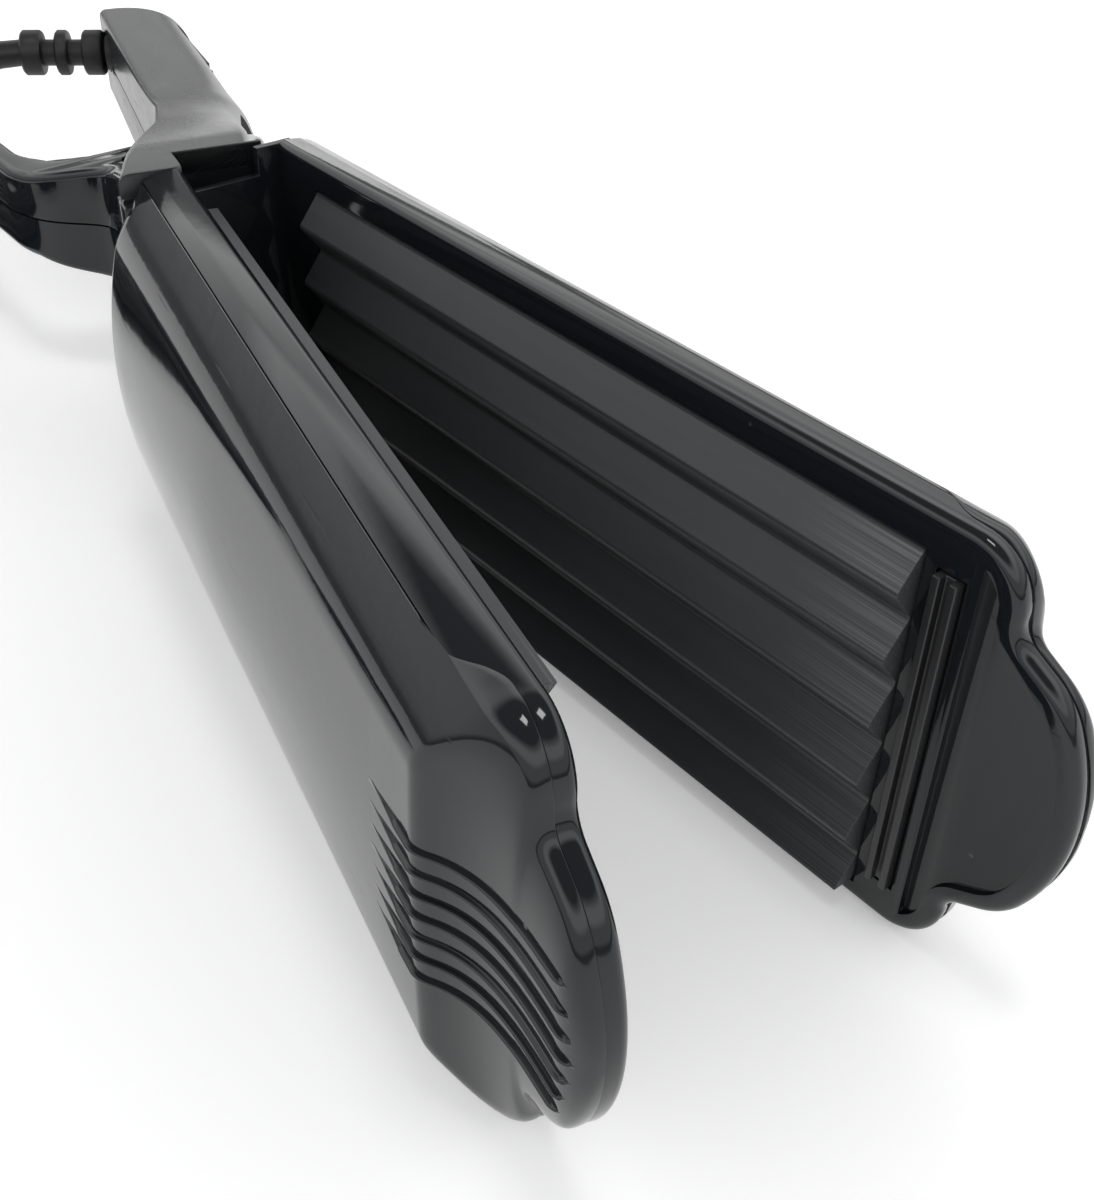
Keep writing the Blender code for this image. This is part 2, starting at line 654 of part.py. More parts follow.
def slab(sign, low, high):
    a = CENTRE_Z + sign * low[2]
    b = CENTRE_Z + sign * high[2]
    return box((low[0], low[1], min(a, b)), (high[0], high[1], max(a, b)))


def screw_y(x):
    return (handle_inner(x) + handle_outer(x)) / 2


def relief_line():
    start = Vector((RELIEF_X, handle_inner(RELIEF_X), CENTRE_Z))
    return start, Vector((-math.sin(RELIEF_ANGLE), -math.cos(RELIEF_ANGLE), 0.0))


def switch_face():
    return handle_outer(SWITCH_X) - FLAT_DEPTH


def handle_half(name, sign):
    """Half of the main handle, with one hinge ear."""
    put = mirrored(sign)
    half_gap = SEAT_GAP / 2
    rings = [[put(x, y, z) for y, z in handle_section(x, 0.0, half_gap)] for x in handle_stations()]
    half = finish_object(name, skin(rings), GLOSS_BLACK)
    flat_reach = SWITCH_LENGTH / 2 + SWITCH_FLANGE + FLAT_MARGIN
    flat_low = (SWITCH_X - flat_reach, switch_face(), -OVERRUN)
    flat_high = (SWITCH_X + flat_reach, switch_face() + OVERRUN * 2, GRIP_HALF_HEIGHT + OVERRUN)
    cut(half, name + "_switch_flat", slab(sign, flat_low, flat_high))
    middle = (HANDLE_END + POCKET_BACK) / 2
    hollow_ends = (HANDLE_END + HANDLE_WALL, middle, FLARE_START, POCKET_BACK - HANDLE_WALL * 2)
    hollow = [[put(x, y, z) for y, z in handle_section(x, HANDLE_WALL, -OVERRUN)] for x in hollow_ends]
    cut(half, name + "_hollow", skin(hollow))
    start, direction = relief_line()
    inside = HANDLE_WALL * 2
    radius = RELIEF_NECK + SEAT_GAP
    bore = turned(((0.0, radius), (inside + OVERRUN, radius)), start - direction * inside, direction)
    cut(half, name + "_cord_hole", bore)
    pocket = []
    for x in [POCKET_BACK] + [x for x in handle_stations() if x > POCKET_BACK] + [EAR_FRONT + OVERRUN]:
        high = handle_height(x) - EAR_THICKNESS
        wide = 2 * EAR_FRONT
        ring = [(-wide, -OVERRUN), (-wide, high), (wide, high), (wide, -OVERRUN)]
        pocket.append([put(x, y, z) for y, z in ring])
    cut(half, name + "_pocket", skin(pocket))
    ear = handle_height(0.0) - EAR_THICKNESS
    seat = upright(sign, (0.0, 0.0), PIN_RADIUS + SEAT_GAP, ear - OVERRUN, ear + PIN_SEAT)
    cut(half, name + "_pin_seat", seat)
    if sign > 0:
        under = handle_height(SPRING_RADIUS) - EAR_THICKNESS
        deep = under + SPRING_HOOK * 1.3
        hook = upright(sign, (SPRING_RADIUS, 0.0), SPRING_WIRE / 2 + SEAT_GAP, under - OVERRUN, deep)
        cut(half, name + "_spring_hole", hook)
    for number, x in enumerate(HANDLE_SCREW_XS, 1):
        centre = (x, screw_y(x))
        top = handle_height(x)
        boss = upright(sign, centre, BOSS_RADIUS, half_gap, top - HANDLE_WALL / 2)
        join(half, f"{name}_boss_{number}", boss)
        if sign > 0:
            hole = upright(sign, centre, SCREW_RADIUS + SEAT_GAP, -OVERRUN, SCREW_REACH + SEAT_GAP)
            cut(half, f"{name}_hole_{number}", hole)
        else:
            hole = upright(sign, centre, SCREW_RADIUS + SEAT_GAP, -OVERRUN, top + OVERRUN)
            cut(half, f"{name}_hole_{number}", hole)
            floor = top - SCREW_SINK - SCREW_HEAD - SEAT_GAP * 2
            sink = upright(sign, centre, SCREW_HEAD_RADIUS + SEAT_GAP, floor, top + OVERRUN)
            cut(half, f"{name}_sink_{number}", sink)
    reach = SWITCH_LENGTH / 2 + SEAT_GAP
    low = (SWITCH_X - reach, switch_face() - SWITCH_BODY_DEPTH - SEAT_GAP, -OVERRUN)
    high = (SWITCH_X + reach, switch_face() + OVERRUN, SWITCH_HALF_HEIGHT + SEAT_GAP)
    cut(half, name + "_switch_hole", slab(sign, low, high))
    lens_start = (LENS_X, handle_outer(LENS_X) - LENS_LENGTH * 2, CENTRE_Z)
    radius = LENS_RADIUS + SEAT_GAP
    lens_hole = turned(((0.0, radius), (LENS_LENGTH * 4, radius)), lens_start, (0, 1, 0))
    cut(half, name + "_lens_hole", lens_hole)
    return half


def pivot_parts():
    ear = handle_height(0.0) - EAR_THICKNESS + PIN_SEAT - SEAT_GAP
    pin = rod((0.0, 0.0), PIN_RADIUS, CENTRE_Z - ear, CENTRE_Z + ear)
    finish_object("pivot_pin", pin, STEEL)


def opening_spring():
    """Torsion spring round the pin: an upright leg in the ear and a leg out into the block."""
    top = SPRING_TURNS * SPRING_PITCH
    points = []
    count = SPRING_TURNS * SPRING_LOOP_POINTS
    for i in range(count + 1):
        angle = math.tau * i / SPRING_LOOP_POINTS
        z = CENTRE_Z + SPRING_WIRE + top * (1 - i / count)
        points.append(Vector((SPRING_RADIUS * math.cos(angle), SPRING_RADIUS * math.sin(angle), z)))
    foot = points[-1] + Vector((SPRING_LEG, 0.0, 0.0))
    rise = handle_height(SPRING_RADIUS) - EAR_THICKNESS - top - SPRING_WIRE
    head = points[0] + Vector((0.0, 0.0, rise + SPRING_HOOK))
    return tube("opening_spring", [head] + points + [foot], SPRING_WIRE / 2, STEEL, 1)


def tube(name, points, radius, surface, roundness):
    curve = bpy.data.curves.new(name, "CURVE")
    curve.dimensions = "3D"
    curve.bevel_depth = radius
    curve.bevel_resolution = roundness
    curve.use_fill_caps = True
    spline = curve.splines.new("POLY")
    spline.points.add(len(points) - 1)
    for slot, point in zip(spline.points, points):
        slot.co = (*point, 1.0)
    spline.use_smooth = True
    curve.materials.append(surface)
    made = bpy.data.objects.new(name, curve)
    bpy.context.scene.collection.objects.link(made)
    made.parent = pivot
    return made


# Crossing block and finger lever


def lever_outer(x):
    """Finger side of the lever and left side of the block."""
    table = (
        (LEVER_END, LEVER_OUTER - LEVER_CURL),
        (LEVER_END * 0.86, LEVER_OUTER - LEVER_CURL * 0.25),
        (LEVER_END * 0.6, LEVER_OUTER + LEVER_CURL * 0.1),
        (-HUB_RADIUS * 1.2, LEVER_OUTER),
        (-HUB_RADIUS * 0.73, LEVER_OUTER * 0.91),
        (-HUB_RADIUS * 0.4, LEVER_OUTER * 0.74),
        (-HUB_RADIUS * 0.2, -HUB_RADIUS * 1.05),
        (0.0, -HUB_RADIUS),
        (WALL_X * 0.87, -BLOCK_SIDE),
        (WALL_X, -BLOCK_LEFT),
        (WALL_X + WALL_STEP, FACE_B),
        (JAW_ROOT_B, FACE_B),
    )
    return between(table, x)


def lever_inner(x):
    """Handle side of the lever, round the hub and along the right side of the block."""
    thin = LEVER_OUTER + LEVER_THICKNESS
    if -HUB_RADIUS < x < 0:
        return math.sqrt(HUB_RADIUS**2 - x * x) if x > -HUB_RADIUS * 0.97 else thin + LEVER_THICKNESS * 2
    table = (
        (LEVER_END, thin - LEVER_CURL),
        (LEVER_END * 0.86, thin - LEVER_CURL * 0.25),
        (LEVER_END * 0.6, thin + LEVER_CURL * 0.1),
        (-HUB_RADIUS * 1.6, thin),
        (-HUB_RADIUS * 1.2, thin + LEVER_THICKNESS * 0.6),
        (-HUB_RADIUS, thin + LEVER_THICKNESS * 2),
        (0.0, HUB_RADIUS),
        (WALL_X, BLOCK_RIGHT),
        (JAW_ROOT_B, BLOCK_RIGHT),
    )
    return between(table, x)


def block_height(x):
    under_ear = handle_height(x - SLOPE_ALLOWANCE) - EAR_THICKNESS - RUN_GAP
    rise = smooth_step(-HUB_RADIUS * 1.4, -HUB_RADIUS, x)
    return LEVER_HALF_HEIGHT + (max(under_ear, LEVER_HALF_HEIGHT) - LEVER_HALF_HEIGHT) * rise


def lever_section(x, base):
    outer, inner, high = lever_outer(x), lever_inner(x), block_height(x)
    edge = LEVER_ROUND
    ring = [(outer, base), (outer, high - edge)]
    for i in range(1, CORNER_POINTS):
        angle = math.pi / 2 * i / CORNER_POINTS
        ring.append((outer + edge * (1 - math.cos(angle)), high - edge * (1 - math.sin(angle))))
    ring.append((outer + edge, high))
    ring.append((inner - edge, high))
    for i in range(1, CORNER_POINTS):
        angle = math.pi / 2 * i / CORNER_POINTS
        ring.append((inner - edge * (1 - math.sin(angle)), high - edge * (1 - math.cos(angle))))
    return ring + [(inner, high - edge), (inner, base)]


def lever_stations():
    lever = [LEVER_END * share for share in (1.0, 0.98, 0.93, 0.86, 0.73, 0.6, 0.45)]
    root = [-HUB_RADIUS * share for share in (1.6, 1.4, 1.2, 1.0)]
    hub = [-HUB_RADIUS * share for share in (0.96, 0.85, 0.73, 0.55, 0.4, 0.2)]
    block = [WALL_X * share for share in (0.0, 0.3, 0.6, 0.87, 1.0)]
    front = [WALL_X + WALL_STEP, JAW_ROOT_B - SEAT_GAP]
    return lever + root + hub + block + front


def lever_half(name, sign):
    """Half of the finger lever and of the block that crosses between the ears."""
    put = mirrored(sign)
    half_gap = SEAT_GAP / 2
    rings = [[put(x, y, z) for y, z in lever_section(x, half_gap)] for x in lever_stations()]
    half = finish_object(name, skin(rings), GLOSS_BLACK, True)
    top = block_height(0.0) + OVERRUN
    cut(half, name + "_pin_bore", upright(sign, (0.0, 0.0), PIN_RADIUS + RUN_GAP, -OVERRUN, top), True)
    if sign > 0:
        chamber = upright(sign, (0.0, 0.0), SPRING_CHAMBER, -OVERRUN, top, 24)
        cut(half, name + "_spring_chamber", chamber, True)
        reach = SPRING_RADIUS + SPRING_LEG + SPRING_WIRE
        slot = slab(sign, (0.0, -SPRING_WIRE, -OVERRUN), (reach, SPRING_WIRE, SPRING_WIRE * 2))
        bmesh.ops.transform(slot, matrix=Matrix.Rotation(-OPEN_ANGLE, 4, "Z"), verts=slot.verts)
        cut(half, name + "_spring_slot", slot, True)
    centre = (LEVER_SCREW_X, LEVER_SCREW_Y)
    top = block_height(LEVER_SCREW_X)
    if sign > 0:
        hole = upright(sign, centre, SCREW_RADIUS + SEAT_GAP, -OVERRUN, SCREW_REACH + SEAT_GAP)
        cut(half, name + "_screw_hole", hole, True)
    else:
        hole = upright(sign, centre, SCREW_RADIUS + SEAT_GAP, -OVERRUN, top + OVERRUN)
        cut(half, name + "_screw_hole", hole, True)
        sink = upright(sign, centre, SCREW_HEAD_RADIUS + SEAT_GAP, SCREW_REACH * 2, top + OVERRUN)
        cut(half, name + "_screw_sink", sink, True)
    return half


def screw(name, centre, head_at, on_lever=False):
    """Screw that comes up from below: head, then a shank into the upper half."""
    reach = CENTRE_Z + SCREW_REACH - head_at
    profile = (
        (0.0, SCREW_HEAD_RADIUS * 0.8),
        (SCREW_HEAD * 0.3, SCREW_HEAD_RADIUS),
        (SCREW_HEAD, SCREW_HEAD_RADIUS),
        (SCREW_HEAD * 1.01, SCREW_RADIUS),
        (reach, SCREW_RADIUS),
    )
    body = turned(profile, (centre[0], centre[1], head_at), (0, 0, 1), 12)
    finish_object(name, body, STEEL, on_lever)


def screws():
    for number, x in enumerate(HANDLE_SCREW_XS, 1):
        head_at = CENTRE_Z - handle_height(x) + SCREW_SINK + SEAT_GAP
        screw(f"handle_screw_{number}", (x, screw_y(x)), head_at)
    head_at = CENTRE_Z - SCREW_REACH * 2 - SCREW_HEAD - SEAT_GAP
    screw("lever_screw", (LEVER_SCREW_X, LEVER_SCREW_Y), head_at, True)


# Switch, lamp and board


def switch_parts():
    face = switch_face()
    frame_low = (SWITCH_X - SWITCH_LENGTH / 2, face - SWITCH_BODY_DEPTH, CENTRE_Z - SWITCH_HALF_HEIGHT)
    frame_high = (SWITCH_X + SWITCH_LENGTH / 2, face + SEAT_GAP * 2, CENTRE_Z + SWITCH_HALF_HEIGHT)
    frame = finish_object("switch_frame", box(frame_low, frame_high), SATIN_BLACK, flat=True)
    low = (frame_low[0] - SWITCH_FLANGE, face + SEAT_GAP, frame_low[2] - SWITCH_FLANGE)
    high = (frame_high[0] + SWITCH_FLANGE, face + SWITCH_FLANGE_THICKNESS, frame_high[2] + SWITCH_FLANGE)
    join(frame, "switch_flange", box(low, high))
    low = (frame_low[0] + SWITCH_WALL, frame_low[1] + SWITCH_WALL, frame_low[2] + SWITCH_WALL)
    high = (frame_high[0] - SWITCH_WALL, face + OVERRUN, frame_high[2] - SWITCH_WALL)
    cut(frame, "switch_well", box(low, high))
    axle_y = face
    for sign in (-1, 1):
        stub_start = (SWITCH_X, axle_y, CENTRE_Z + sign * (SWITCH_HALF_HEIGHT - SWITCH_WALL - ROCKER_AXLE))
        stub = turned(((0.0, ROCKER_AXLE), (ROCKER_AXLE * 2, ROCKER_AXLE)), stub_start, (0, 0, sign), 12)
        join(frame, f"switch_axle_{sign}", stub)
    half = SWITCH_LENGTH / 2 - SWITCH_WALL - RUN_GAP * 2
    deep = -SWITCH_BODY_DEPTH / 2
    profile = [(-half, deep / 3), (-half, ROCKER_PROUD), (-half / 2, ROCKER_PROUD * 0.72)]
    profile += [(0.0, ROCKER_PROUD * 0.6), (half / 2, ROCKER_PROUD * 0.72), (half, ROCKER_PROUD)]
    profile += [(half, deep / 3), (half / 3, deep), (-half / 3, deep)]
    reach = SWITCH_HALF_HEIGHT - SWITCH_WALL - RUN_GAP
    turn = Matrix.Rotation(ROCKER_TILT, 4, "Z")
    rings = [[turn @ Vector((x, y, z)) for x, y in profile] for z in (-reach, reach)]
    rocker = finish_object("switch_rocker", skin(rings), SATIN_BLACK, flat=True)
    rocker.location = (SWITCH_X, axle_y, CENTRE_Z)
    for sign in (-1, 1):
        hole_start = (0.0, 0.0, sign * (reach - ROCKER_AXLE - SEAT_GAP))
        radius = ROCKER_AXLE + RUN_GAP
        hole = turned(((0.0, radius), (OVERRUN, radius)), hole_start, (0, 0, sign), 12)
        tool = finish_object(f"rocker_socket_{sign}", hole, None)
        tool.location = rocker.location
        shape_with(rocker, tool, "DIFFERENCE")
    lens_start = (LENS_X, handle_outer(LENS_X) - LENS_LENGTH, CENTRE_Z)
    profile = ((0.0, LENS_RADIUS), (LENS_LENGTH, LENS_RADIUS), (LENS_LENGTH * 1.12, LENS_RADIUS * 0.7))
    finish_object("indicator_lens", turned(profile, lens_start, (0, 1, 0)), LAMP)
    middle = screw_y(BOARD_START + BOARD_LENGTH / 2)
    reach = handle_height(BOARD_START) - HANDLE_WALL - SEAT_GAP
    low = (BOARD_START, middle - BOARD_THICKNESS / 2, CENTRE_Z - reach)
    high = (BOARD_START + BOARD_LENGTH, middle + BOARD_THICKNESS / 2, CENTRE_Z + reach)
    finish_object("control_board", box(low, high), BOARD, flat=True)


# Strain relief, cord, coil and plug


def relief_end():
    start, direction = relief_line()
    return start + direction * RELIEF_LENGTH, direction


def strain_relief():
    start, direction = relief_line()
    inside = HANDLE_WALL * 2 + SEAT_GAP * 2
    profile = [
        (-inside - RELIEF_COLLAR_LENGTH, RELIEF_NECK),
        (0.0, RELIEF_NECK),
    ]
    for begin, width in RELIEF_RINGS:
        profile.append((begin + EDGE_ROUND / 4 + SEAT_GAP, RELIEF_CORE if begin else RELIEF_NECK))
        profile.append((begin + EDGE_ROUND / 2 + SEAT_GAP, RELIEF_RING))
        profile.append((begin + width - EDGE_ROUND / 4, RELIEF_RING))
        profile.append((begin + width, RELIEF_CORE))
    profile[-1] = (RELIEF_RINGS[-1][0] + RELIEF_RINGS[-1][1] + EDGE_ROUND, RELIEF_RING * 0.85)
    profile.append((RELIEF_LENGTH, CORD_RADIUS + SEAT_GAP))
    finish_object("strain_relief", turned(profile, start, direction), RUBBER)


def cord_route(start, leaving, end, arriving):
    """Evenly spaced points of one smooth curve that leaves and arrives straight and comes down to the table."""
    first = start + leaving * CORD_LEAD
    last = end - arriving * CORD_LEAD
    pull = (last - first).length / 2
    curve = []
    for i in range(CORD_POINTS * 4 + 1):
        t = i / (CORD_POINTS * 4)
        point = first * (1 - t) ** 3 + (first + leaving * pull) * 3 * t * (1 - t) ** 2
        point += (last - arriving * pull) * 3 * t * t * (1 - t) + last * t**3
        point.z = start.z + (end.z - start.z) * smooth_step(0.0, 1.0, t)
        curve.append(point)
    curve = [start] + curve + [end]
    lengths = [0.0]
    for a, b in zip(curve, curve[1:]):
        lengths.append(lengths[-1] + (b - a).length)
    points = [start]
    at = 1
    for i in range(1, CORD_POINTS):
        target = lengths[-1] * i / CORD_POINTS
        while lengths[at] < target:
            at += 1
        share = (target - lengths[at - 1]) / (lengths[at] - lengths[at - 1])
        points.append(curve[at - 1].lerp(curve[at], share))
    return points + [end]


def coil_points():
    """Loops that spiral in on the table and out again one layer up."""
    turns_down = COIL_TURNS / 2
    count = round(COIL_TURNS * COIL_LOOP_POINTS)
    climb = COIL_LOOP_POINTS / 2
    turning = count / 2
    points = []
    for i in range(count + 1):
        angle = COIL_ENTRY_ANGLE + math.tau * i / COIL_LOOP_POINTS
        spread = abs(i - turning) / turning
        radius = COIL_RADIUS + COIL_STEP * turns_down * (spread - 0.5)
        layer = smooth_step(turning - climb / 2, turning + climb / 2, i)
        z = CORD_RADIUS + COIL_LAYER * layer
        points.append(COIL_CENTRE + Vector((radius * math.cos(angle), radius * math.sin(angle), z)))
    into = (points[0] - points[1]).normalized() * CORD_RADIUS * 2
    out = (points[-1] - points[-2]).normalized() * CORD_RADIUS * 2
    into.z = 0.0
    out.z = 0.0
    return [points[0] + into] + points + [points[-1] + out]


def least_self_gap(points, radius):
    """Smallest gap between stretches of the tube that are more than a few radii apart along it."""
    apart = COIL_LOOP_POINTS // 3
    least = None
    for i in range(len(points)):
        for j in range(i + apart, len(points)):
            gap = (points[i] - points[j]).length - 2 * radius
            least = gap if least is None else min(least, gap)
    return least


def cord_parts():
    start, direction = relief_end()
    coil = coil_points()
    heading = (coil[1] - coil[0]).normalized()
    route = cord_route(start + direction * SEAT_GAP, direction, coil[0] - heading * SEAT_GAP, heading)
    tube("cord", route, CORD_RADIUS, RUBBER, 2)
    tube("cord_coil", coil, CORD_RADIUS, RUBBER, 1)
    print("coil: least gap to itself", round(least_self_gap(coil, CORD_RADIUS) * 1000, 3), "mm")
    heading = (coil[-1] - coil[-2]).normalized()
    side = Vector((-heading.y, heading.x, 0.0))
    tail = []
    for i in range(TAIL_POINTS + 1):
        share = i / TAIL_POINTS
        along = SEAT_GAP + TAIL_LENGTH * share
        tail.append(coil[-1] + heading * along + side * TAIL_SWAY * smooth_step(0.2, 1.0, share))
    tube("cord_tail", tail, CORD_RADIUS, RUBBER, 2)
    plug(tail[-1], heading)


def plug(start, direction):
    start = start + direction * SEAT_GAP
    bend = PLUG_NECK_LENGTH
    end = bend + PLUG_LENGTH
    profile = [(0.0, CORD_RADIUS + SEAT_GAP), (bend * 0.85, CORD_RADIUS * 1.5), (bend, PLUG_RADIUS * 0.7)]
    profile += [(bend + PLUG_LENGTH * 0.3, PLUG_RADIUS * 0.9), (end - PLUG_FLANGE, PLUG_RADIUS * 0.8)]
    profile += [(end - PLUG_FLANGE * 0.8, PLUG_RADIUS), (end, PLUG_RADIUS)]
    body = turned(profile, start, direction)
    floor_z = start.z - PLUG_RADIUS
    side = Vector((0.0, 0.0, 1.0)).cross(direction)
    for vert in body.verts:
        out = (vert.co - start).dot(side)
        vert.co += side * out * 0.45
        vert.co.z = max(vert.co.z, 0.0)
    finish_object("plug_body", body, RUBBER)
    for number, sign in enumerate((-1, 1), 1):
        foot = start + direction * (end + SEAT_GAP) + side * sign * PIN_SPACING / 2
        round_from = PIN_LENGTH - BLADE_RADIUS
        profile = ((0.0, BLADE_RADIUS), (round_from, BLADE_RADIUS), (PIN_LENGTH, BLADE_RADIUS * 0.5))
        finish_object(f"plug_pin_{number}", turned(profile, foot, direction, 12), STEEL)


def build():
    on_a = placed(FACE_A, -1)
    on_b = placed(FACE_B, 1)
    shell_a = jaw_shell("jaw_shell_a", on_a, JAW_ROOT_A, False)
    back = JAW_ROOT_A + SHELL_WALL
    tab_low = (JAW_ROOT_A - TAB_THICKNESS, FACE_A - SEAM_DEPTH * 1.1 - TAB_WIDTH, EAR_THICKNESS + RUN_GAP)
    tab_high = (back, FACE_A - SEAM_DEPTH * 1.1, 2 * CENTRE_Z - EAR_THICKNESS - RUN_GAP)
    join(shell_a, "jaw_tab_a", box(tab_low, tab_high))
    jaw_shell("jaw_shell_b", on_b, JAW_ROOT_B, True)
    jaw_frame("jaw_frame_a", on_a, JAW_ROOT_A, False)
    jaw_frame("jaw_frame_b", on_b, JAW_ROOT_B, True)
    ridged_plate("crimping_plate_a", on_a, CREST_A, True, False)
    ridged_plate("crimping_plate_b", on_b, CREST_B, False, True)
    barrier_strip("barrier_strip_a", on_a, False)
    barrier_strip("barrier_strip_b", on_b, True)
    heater_parts("a", on_a, False)
    heater_parts("b", on_b, True)
    handle_half("handle_shell_upper", 1)
    handle_half("handle_shell_lower", -1)
    pivot_parts()
    opening_spring()
    lever_half("lever_shell_upper", 1)
    lever_half("lever_shell_lower", -1)
    screws()
    switch_parts()
    strain_relief()
    cord_parts()


build()
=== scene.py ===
import math

import bmesh
import bpy
from mathutils import Matrix, Vector


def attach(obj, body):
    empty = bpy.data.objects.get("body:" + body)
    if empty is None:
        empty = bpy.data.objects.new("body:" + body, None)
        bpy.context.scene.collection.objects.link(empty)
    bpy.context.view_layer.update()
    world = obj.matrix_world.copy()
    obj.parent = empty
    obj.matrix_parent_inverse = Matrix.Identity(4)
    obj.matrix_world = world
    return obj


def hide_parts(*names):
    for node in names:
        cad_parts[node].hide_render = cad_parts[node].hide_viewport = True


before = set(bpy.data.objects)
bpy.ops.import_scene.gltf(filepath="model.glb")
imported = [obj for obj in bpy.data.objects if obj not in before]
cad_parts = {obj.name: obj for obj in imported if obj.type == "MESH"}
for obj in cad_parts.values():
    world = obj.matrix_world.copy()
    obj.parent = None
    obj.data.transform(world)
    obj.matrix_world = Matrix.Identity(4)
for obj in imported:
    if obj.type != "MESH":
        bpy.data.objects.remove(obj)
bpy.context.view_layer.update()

# Everything is measured from the upright pivot with the jaws closed, then put in its place at rest
hinge = {"place": (-0.042, 0.009, 0.0), "open": math.radians(14.4), "middleZ": 0.0254, "earHole": 0.0043,
         "leverHole": 0.0044, "pinSeat": 0.0020}
over = 0.004  # how far a cutter runs past what it cuts
onHandle = Matrix.Translation(hinge["place"])
onLever = onHandle @ Matrix.Rotation(hinge["open"], 4, "Z")
bodyPlace = {"handle_and_jaw": onHandle, "lever_and_jaw": onLever, "switch_rocker_body": onHandle}


class Link:
    # one output socket that can be added, multiplied and so on
    def __init__(self, finish, socket):
        self.finish = finish
        self.socket = socket

    def sum(self, operation, first, second):
        return self.finish.node("ShaderNodeMath", {"operation": operation}, {0: first, 1: second})

    def __add__(self, other):
        return self.sum("ADD", self, other)

    def __radd__(self, other):
        return self.sum("ADD", other, self)

    def __sub__(self, other):
        return self.sum("SUBTRACT", self, other)

    def __mul__(self, other):
        return self.sum("MULTIPLY", self, other)


class Finish:
    # one material on a Principled shader
    def __init__(self, name, plain=None):
        self.material = bpy.data.materials.new(name)
        self.material.use_nodes = True
        self.tree = self.material.node_tree
        self.shader = self.tree.nodes["Principled BSDF"]
        for socket, value in (plain or {}).items():
            self.shader.inputs[socket].default_value = value

    def node(self, kind, settings=None, sockets=None, output=0):
        made = self.tree.nodes.new(kind)
        for name, value in (settings or {}).items():
            if name == "stops":
                ramp = made.color_ramp.elements
                while len(ramp) < len(value):
                    ramp.new(0.5)
                for element, (position, color) in zip(ramp, value):
                    element.position = position
                    element.color = (*color, 1.0) if isinstance(color, tuple) else (color, color, color, 1.0)
            else:
                setattr(made, name, value)
        for name, value in (sockets or {}).items():
            self.feed(made.inputs[name], value)
        return Link(self, made.outputs[output])

    def feed(self, socket, value):
        if isinstance(value, Link):
            self.tree.links.new(value.socket, socket)
        elif isinstance(value, tuple) and socket.type == "RGBA":
            socket.default_value = (*value, 1.0)
        else:
            socket.default_value = value

    def set(self, name, value):
        self.feed(self.shader.inputs[name], value)

    def place(self, scale=(1.0, 1.0, 1.0), turn=0.0, shift=(0.0, 0.0, 0.0)):
        here = self.node("ShaderNodeTexCoord", output=3)
        turned = self.node("ShaderNodeMapping", {}, {"Vector": here, "Rotation": (0.0, 0.0, turn)})
        return self.node("ShaderNodeMapping", {}, {"Vector": turned, "Scale": scale, "Location": shift})

    def noise(self, where, scale, detail=3.0, roughness=0.55):
        return self.node("ShaderNodeTexNoise", {}, {"Vector": where, "Scale": scale, "Detail": detail,
                                                    "Roughness": roughness})

    def ramp(self, value, *stops):
        return self.node("ShaderNodeValToRGB", {"stops": stops}, {"Fac": value})

    def mix(self, share, first, second):
        return self.node("ShaderNodeMix", {"data_type": "RGBA"}, {0: share, 6: first, 7: second}, output=2)

    def bump(self, height, distance, strength=1.0, onto=None):
        sockets = {"Height": height, "Distance": distance, "Strength": strength}
        if onto is not None:
            sockets["Normal"] = onto
        return self.node("ShaderNodeBump", {}, sockets)


def glossBlack(name, turn=0.0, smudges=0.5, rough=0.055, lift=0.0):
    # polished black moulding: faint orange peel, smudges, a few hairline scratches and specks of dust; lift
    # lightens both colours evenly as a painted sheen
    look = {"color": (0.0062, 0.0082, 0.0098), "worn": (0.0120, 0.0142, 0.0160)}
    made = Finish(name, {"IOR": 1.47})
    where = made.place(turn=-turn)
    cloud = made.noise(where, 38.0, 4.0)
    smear = made.ramp(made.noise(made.place((1.0, 3.2, 1.6), -turn), 60.0, 5.0, 0.65), (0.42, 0.0), (0.74, 1.0))
    streaks = made.noise(made.place((14.0, 420.0, 420.0), -turn), 3.0, 2.0)
    scratch = made.ramp(streaks, (0.69, 0.0), (0.715, 1.0))
    spots = made.node("ShaderNodeTexVoronoi", {}, {"Vector": where, "Scale": 210.0, "Randomness": 1.0})
    dust = made.ramp(spots, (0.035, 1.0), (0.075, 0.0))
    sparse = made.ramp(made.noise(where, 95.0, 2.0), (0.56, 0.0), (0.64, 1.0))
    speck = dust * sparse
    # lift is painted sheen: it raises the colour to stand in for bright reflection
    color, worn = (tuple(part + lift for part in look[name]) for name in ("color", "worn"))
    base = made.mix(cloud * 0.6, color, worn)
    made.set("Base Color", made.mix(speck * 0.35, base, (0.20, 0.20, 0.20)))
    made.set("Roughness", smear * (0.10 * smudges) + rough + scratch * 0.10 + speck * 0.4)
    peel = made.noise(where, 520.0, 2.0)
    wave = made.noise(where, 75.0, 2.0)
    low = made.bump(wave, 0.00012, 0.22)
    made.set("Normal", made.bump(peel + scratch * -0.4, 0.00002, 0.35, low))
    return made.material


